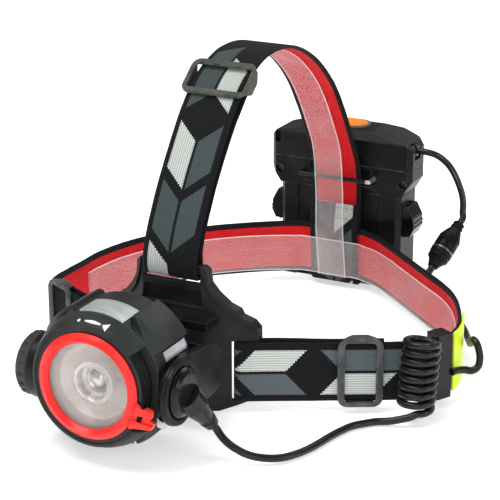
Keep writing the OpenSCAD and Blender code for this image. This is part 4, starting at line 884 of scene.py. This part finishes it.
def satinSilver(name, colour, toward):
    # painted silver inlay: fine sparkle and a slow change of shade along one direction
    finish = Finish(name, specularIorLevel=0.5, coatWeight=0.12, coatRoughness=0.3)
    flake = finish.grain(0.22, 2)
    cloud = finish.grain(11, 3, toward)
    body = finish.blend(cloud.rise(0.35, 0.7), scaled(colour, 0.86), scaled(colour, 1.14, 0.01))
    finish.give("baseColor", finish.blend(flake.rise(0.5, 0.8) * 0.35, body, tint(214, 216, 216)))
    finish.give("metallic", 0.25 + 0.2 * flake)
    finish.give("roughness", 0.4 + 0.12 * (cloud - 0.5))
    return finish.relief(flake, 0.006, 0.25)


for name, colour, roughness, size, depth, worn, more, parts in plastics:
    finishNodes(moulded(name, tint(*colour), roughness, size, depth, worn=worn and tint(*worn), **more), *parts)
for name, colour, roughness, brushed, parts in metals:
    finishNodes(metal(name, tint(*colour), roughness, brushed), *parts)
for name, colour, toward, part in silvers:
    finishNodes(satinSilver(name, tint(*colour), toward), part)


def barFinish():  # dark lacquered wire, with a painted highlight: bright and metallic at its right end
    finish = Finish("barWire", specularIorLevel=0.3)
    sideways = finish.add("ShaderNodeSeparateXYZ", {}, {0: finish.where()})
    # painted highlight: the right end is coloured bright for the light it reflects
    paintedGlint = sideways.rise(0.0062, 0.0068)
    scratch = finish.grain(0.6, 3, (4, 1, 1))
    finish.give("baseColor", finish.blend(paintedGlint, tint(14, 15, 16), tint(205, 206, 208)))
    finish.give("metallic", paintedGlint)
    finish.give("roughness", 0.46 + 0.15 * (scratch - 0.5))
    return finish.relief(scratch, 0.006, 0.2)


finishNodes(barFinish(), "strap_bar")

# ---- lamp: clear lens over a pale reflector, and the printed arc

lamp = {
    "z": 33.0, "lipInner": 24.2, "lipFront": 135.8, "lipFall": 3.5 / 1.6,
    "markAt": 24.9, "markWidth": 0.6, "arcs": [(-10.8, -8.2), (-3.5, 11.5)], "arrow": (13.5, 18.5),
    "arrowFrom": 0.1, "arrowGrows": 1.5, "inkFrom": 0.03, "inkTo": 0.14,
    "dish": [(5.4, 122.2), (7.3, 122.95), (10.9, 126.3), (14.45, 131.6), (14.55, 131.9), (14.58, 131.2),
             (11.3, 126.0), (7.5, 122.6), (5.5, 121.95)],
    "eye": [(0.05, 130.8), (1.4, 130.6), (2.6, 130), (3.4, 129.3), (4, 128.4), (4.2, 127.9), (4.5, 127.9),
            (5, 128.8), (6.2, 130.4), (7.3, 131.9), (7.9, 132.8), (8.05, 132.8), (8.1, 132.5), (7, 130.4),
            (5.8, 128.4), (5.8, 126.2), (0.05, 126.1)],
    "eyeWide": 8.1,
    # painted reflection and shade: grey of the lens eye at each radius in mm
    "eyePaintedRings": [(0, 206), (2.2, 192), (3.2, 150), (3.9, 112), (4.6, 206), (5.6, 240), (6.5, 178), (7.6, 236)],
}


def lensFinish():
    finish = Finish("clearLens", specularIorLevel=0.8)
    cloud = finish.grain(14, 3)
    haze = finish.grain(1.2, 3).rise(0.55, 0.85)
    finish.give("baseColor", finish.blend(cloud.rise(0.35, 0.7), tint(224, 218, 214), tint(240, 236, 232)))
    finish.give("alpha", 0.3 + 0.1 * cloud)
    finish.give("roughness", 0.03 + 0.05 * haze)
    return finish.relief(cloud, 0.02)


def reflectorFinish():
    finish = Finish("reflectorSilver", specularIorLevel=0.5)
    cloud = finish.grain(5, 3)
    finish.give("baseColor", finish.blend(cloud.rise(0.35, 0.7), tint(222, 214, 208), tint(242, 238, 232)))
    finish.give("metallic", 0.35 + 0.2 * cloud)
    finish.give("roughness", 0.42 + 0.1 * cloud)
    return finish.relief(finish.grain(0.8, 2), 0.01)


def eyeFinish():  # the small collimating dome at the bottom of the lens and its rim, with rings of painted reflection and painted shade: dark in the hollow round the dome, bright on the rim
    finish = Finish("eyeGlass", specularIorLevel=0.9, coatWeight=0.5, coatRoughness=0.03)
    cloud = finish.grain(2.4, 3)
    sideways = finish.add("ShaderNodeSeparateXYZ", {}, {0: finish.where()})
    height = Signal(finish, sideways.socket.node.outputs[2])
    middle = place(0, 0, lamp["z"])
    out = ((sideways - middle.x) ** 2 + (height - middle.z) ** 2) ** 0.5 * 1000
    # painted reflection and shade, ring by ring
    paintedGreys = [(radius / lamp["eyeWide"], tint(grey, grey, grey - 3)) for radius, grey in lamp["eyePaintedRings"]]
    rings = finish.add("ShaderNodeValToRGB", {"stops": paintedGreys},
                       {0: (out + 0.5 * (cloud - 0.5)) / lamp["eyeWide"]})
    finish.give("baseColor", finish.blend(cloud.rise(0.45, 0.7) * 0.35, rings, tint(244, 244, 240)))
    finish.give("metallic", 0.3)
    finish.give("roughness", 0.16 + 0.1 * cloud)
    return finish.relief(cloud, 0.004)


def makeOptic():
    finishNodes(lensFinish(), "lens")
    axis = [place(0, -d, lamp["z"]) for d in (0, 100)]
    silver = reflectorFinish()
    glass = eyeFinish()
    for name, profile, finish, ring in (("reflectorDish", lamp["dish"], silver, True),
                                        ("lensEye", lamp["eye"], glass, False)):
        piece = dress(turnedPiece(name, axis[0], axis[1], profile, 72, ring), finish)
        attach(piece, "optic")


def onLip(angle, radius, front):  # angle in degrees from the top towards +X
    a = math.radians(angle)
    return place(radius * math.sin(a), -front, lamp["z"] + radius * math.cos(a))


def makeMarks(values):
    # white arcs and a pointer printed on the sloping lip of the housing
    ink = Finish("printWhite", specularIorLevel=0.4)
    rubbed = ink.grain(0.8, 3).rise(0.55, 0.8) * 0.5
    ink.give("baseColor", ink.blend(rubbed, tint(238, 240, 238), tint(170, 174, 172)))
    ink.give("roughness", 0.5 + 0.1 * ink.grain(0.6, 2))
    ink.relief(ink.grain(0.5, 2), 0.01)
    points, faces = [], []

    def lipFront(radius):  # the lip falls back from its inner to its outer edge
        return values["lipFront"] - (radius - values["lipInner"]) * values["lipFall"]

    def strip(start, stop, widthAt, steps=14):
        base = len(points)
        for k in range(steps + 1):
            t = k / steps
            half = widthAt(t) / 2
            for out in (-half, half):
                radius = values["markAt"] + out
                for lift in (values["inkFrom"], values["inkTo"]):
                    points.append(onLip(start + (stop - start) * t, radius, lipFront(radius) + lift))
        for k in range(steps):
            a = base + 4 * k
            for q, r in ((0, 2), (2, 3), (3, 1), (1, 0)):
                faces.append((a + q, a + r, a + r + 4, a + q + 4))
        for a in (base, base + 4 * steps):
            faces.append((a, a + 1, a + 3, a + 2))

    def swelling(t):  # thin at both ends of an arc
        return values["markWidth"] * (0.35 + 0.65 * math.sin(math.pi * min(max(t, 0.08), 0.92)))

    for start, stop in values["arcs"]:
        strip(start, stop, swelling)
    strip(*values["arrow"], lambda t: values["arrowFrom"] + values["arrowGrows"] * t, 4)
    marks = dress(facesTowards(meshPiece("lipMarks", points, faces, smooth=False)), ink)
    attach(marks, "lamp")


makeOptic()
makeMarks(lamp)
print("lamp dressed")

# ---- foam pad behind the forehead plate

pad = {"voxel": 0.0011, "smoothing": 9, "fill": 0.9, "waves": 90, "waveHigh": 0.00025}


def foamFinish():
    finish = Finish("padFoam", sheenWeight=0.1, sheenRoughness=0.5, specularIorLevel=0.25)
    cell = finish.speckle(0.9)
    cloud = finish.grain(12, 3)
    shade = finish.blend(cloud.rise(0.35, 0.7), tint(26, 27, 29), tint(38, 39, 41))
    finish.give("baseColor", finish.blend(cell.rise(0.1, 0.5), tint(20, 20, 22), shade))
    finish.give("roughness", 0.88 - 0.08 * cloud)
    return finish.relief(cell, 0.12)


def makePad():
    source = cadNodes["forehead_pad"]
    foam = newObject("foamPad", source.data.copy())
    foam.matrix_world = source.matrix_world
    remesh = foam.modifiers.new("evenSkin", "REMESH")
    remesh.mode = "VOXEL"
    remesh.voxel_size = pad["voxel"]
    even = foam.modifiers.new("roundEdges", "SMOOTH")
    even.factor = 0.5
    even.iterations = pad["smoothing"]
    applyModifiers(foam)
    for vertex in foam.data.vertices:
        vertex.co += Vector((0, 1, 0)) * noise.noise(vertex.co * pad["waves"]) * pad["waveHigh"]
    for face in foam.data.polygons:
        face.use_smooth = True
    dress(foam, foamFinish())
    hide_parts("forehead_pad")
    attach(foam, "harness")


makePad()
print("pad made")
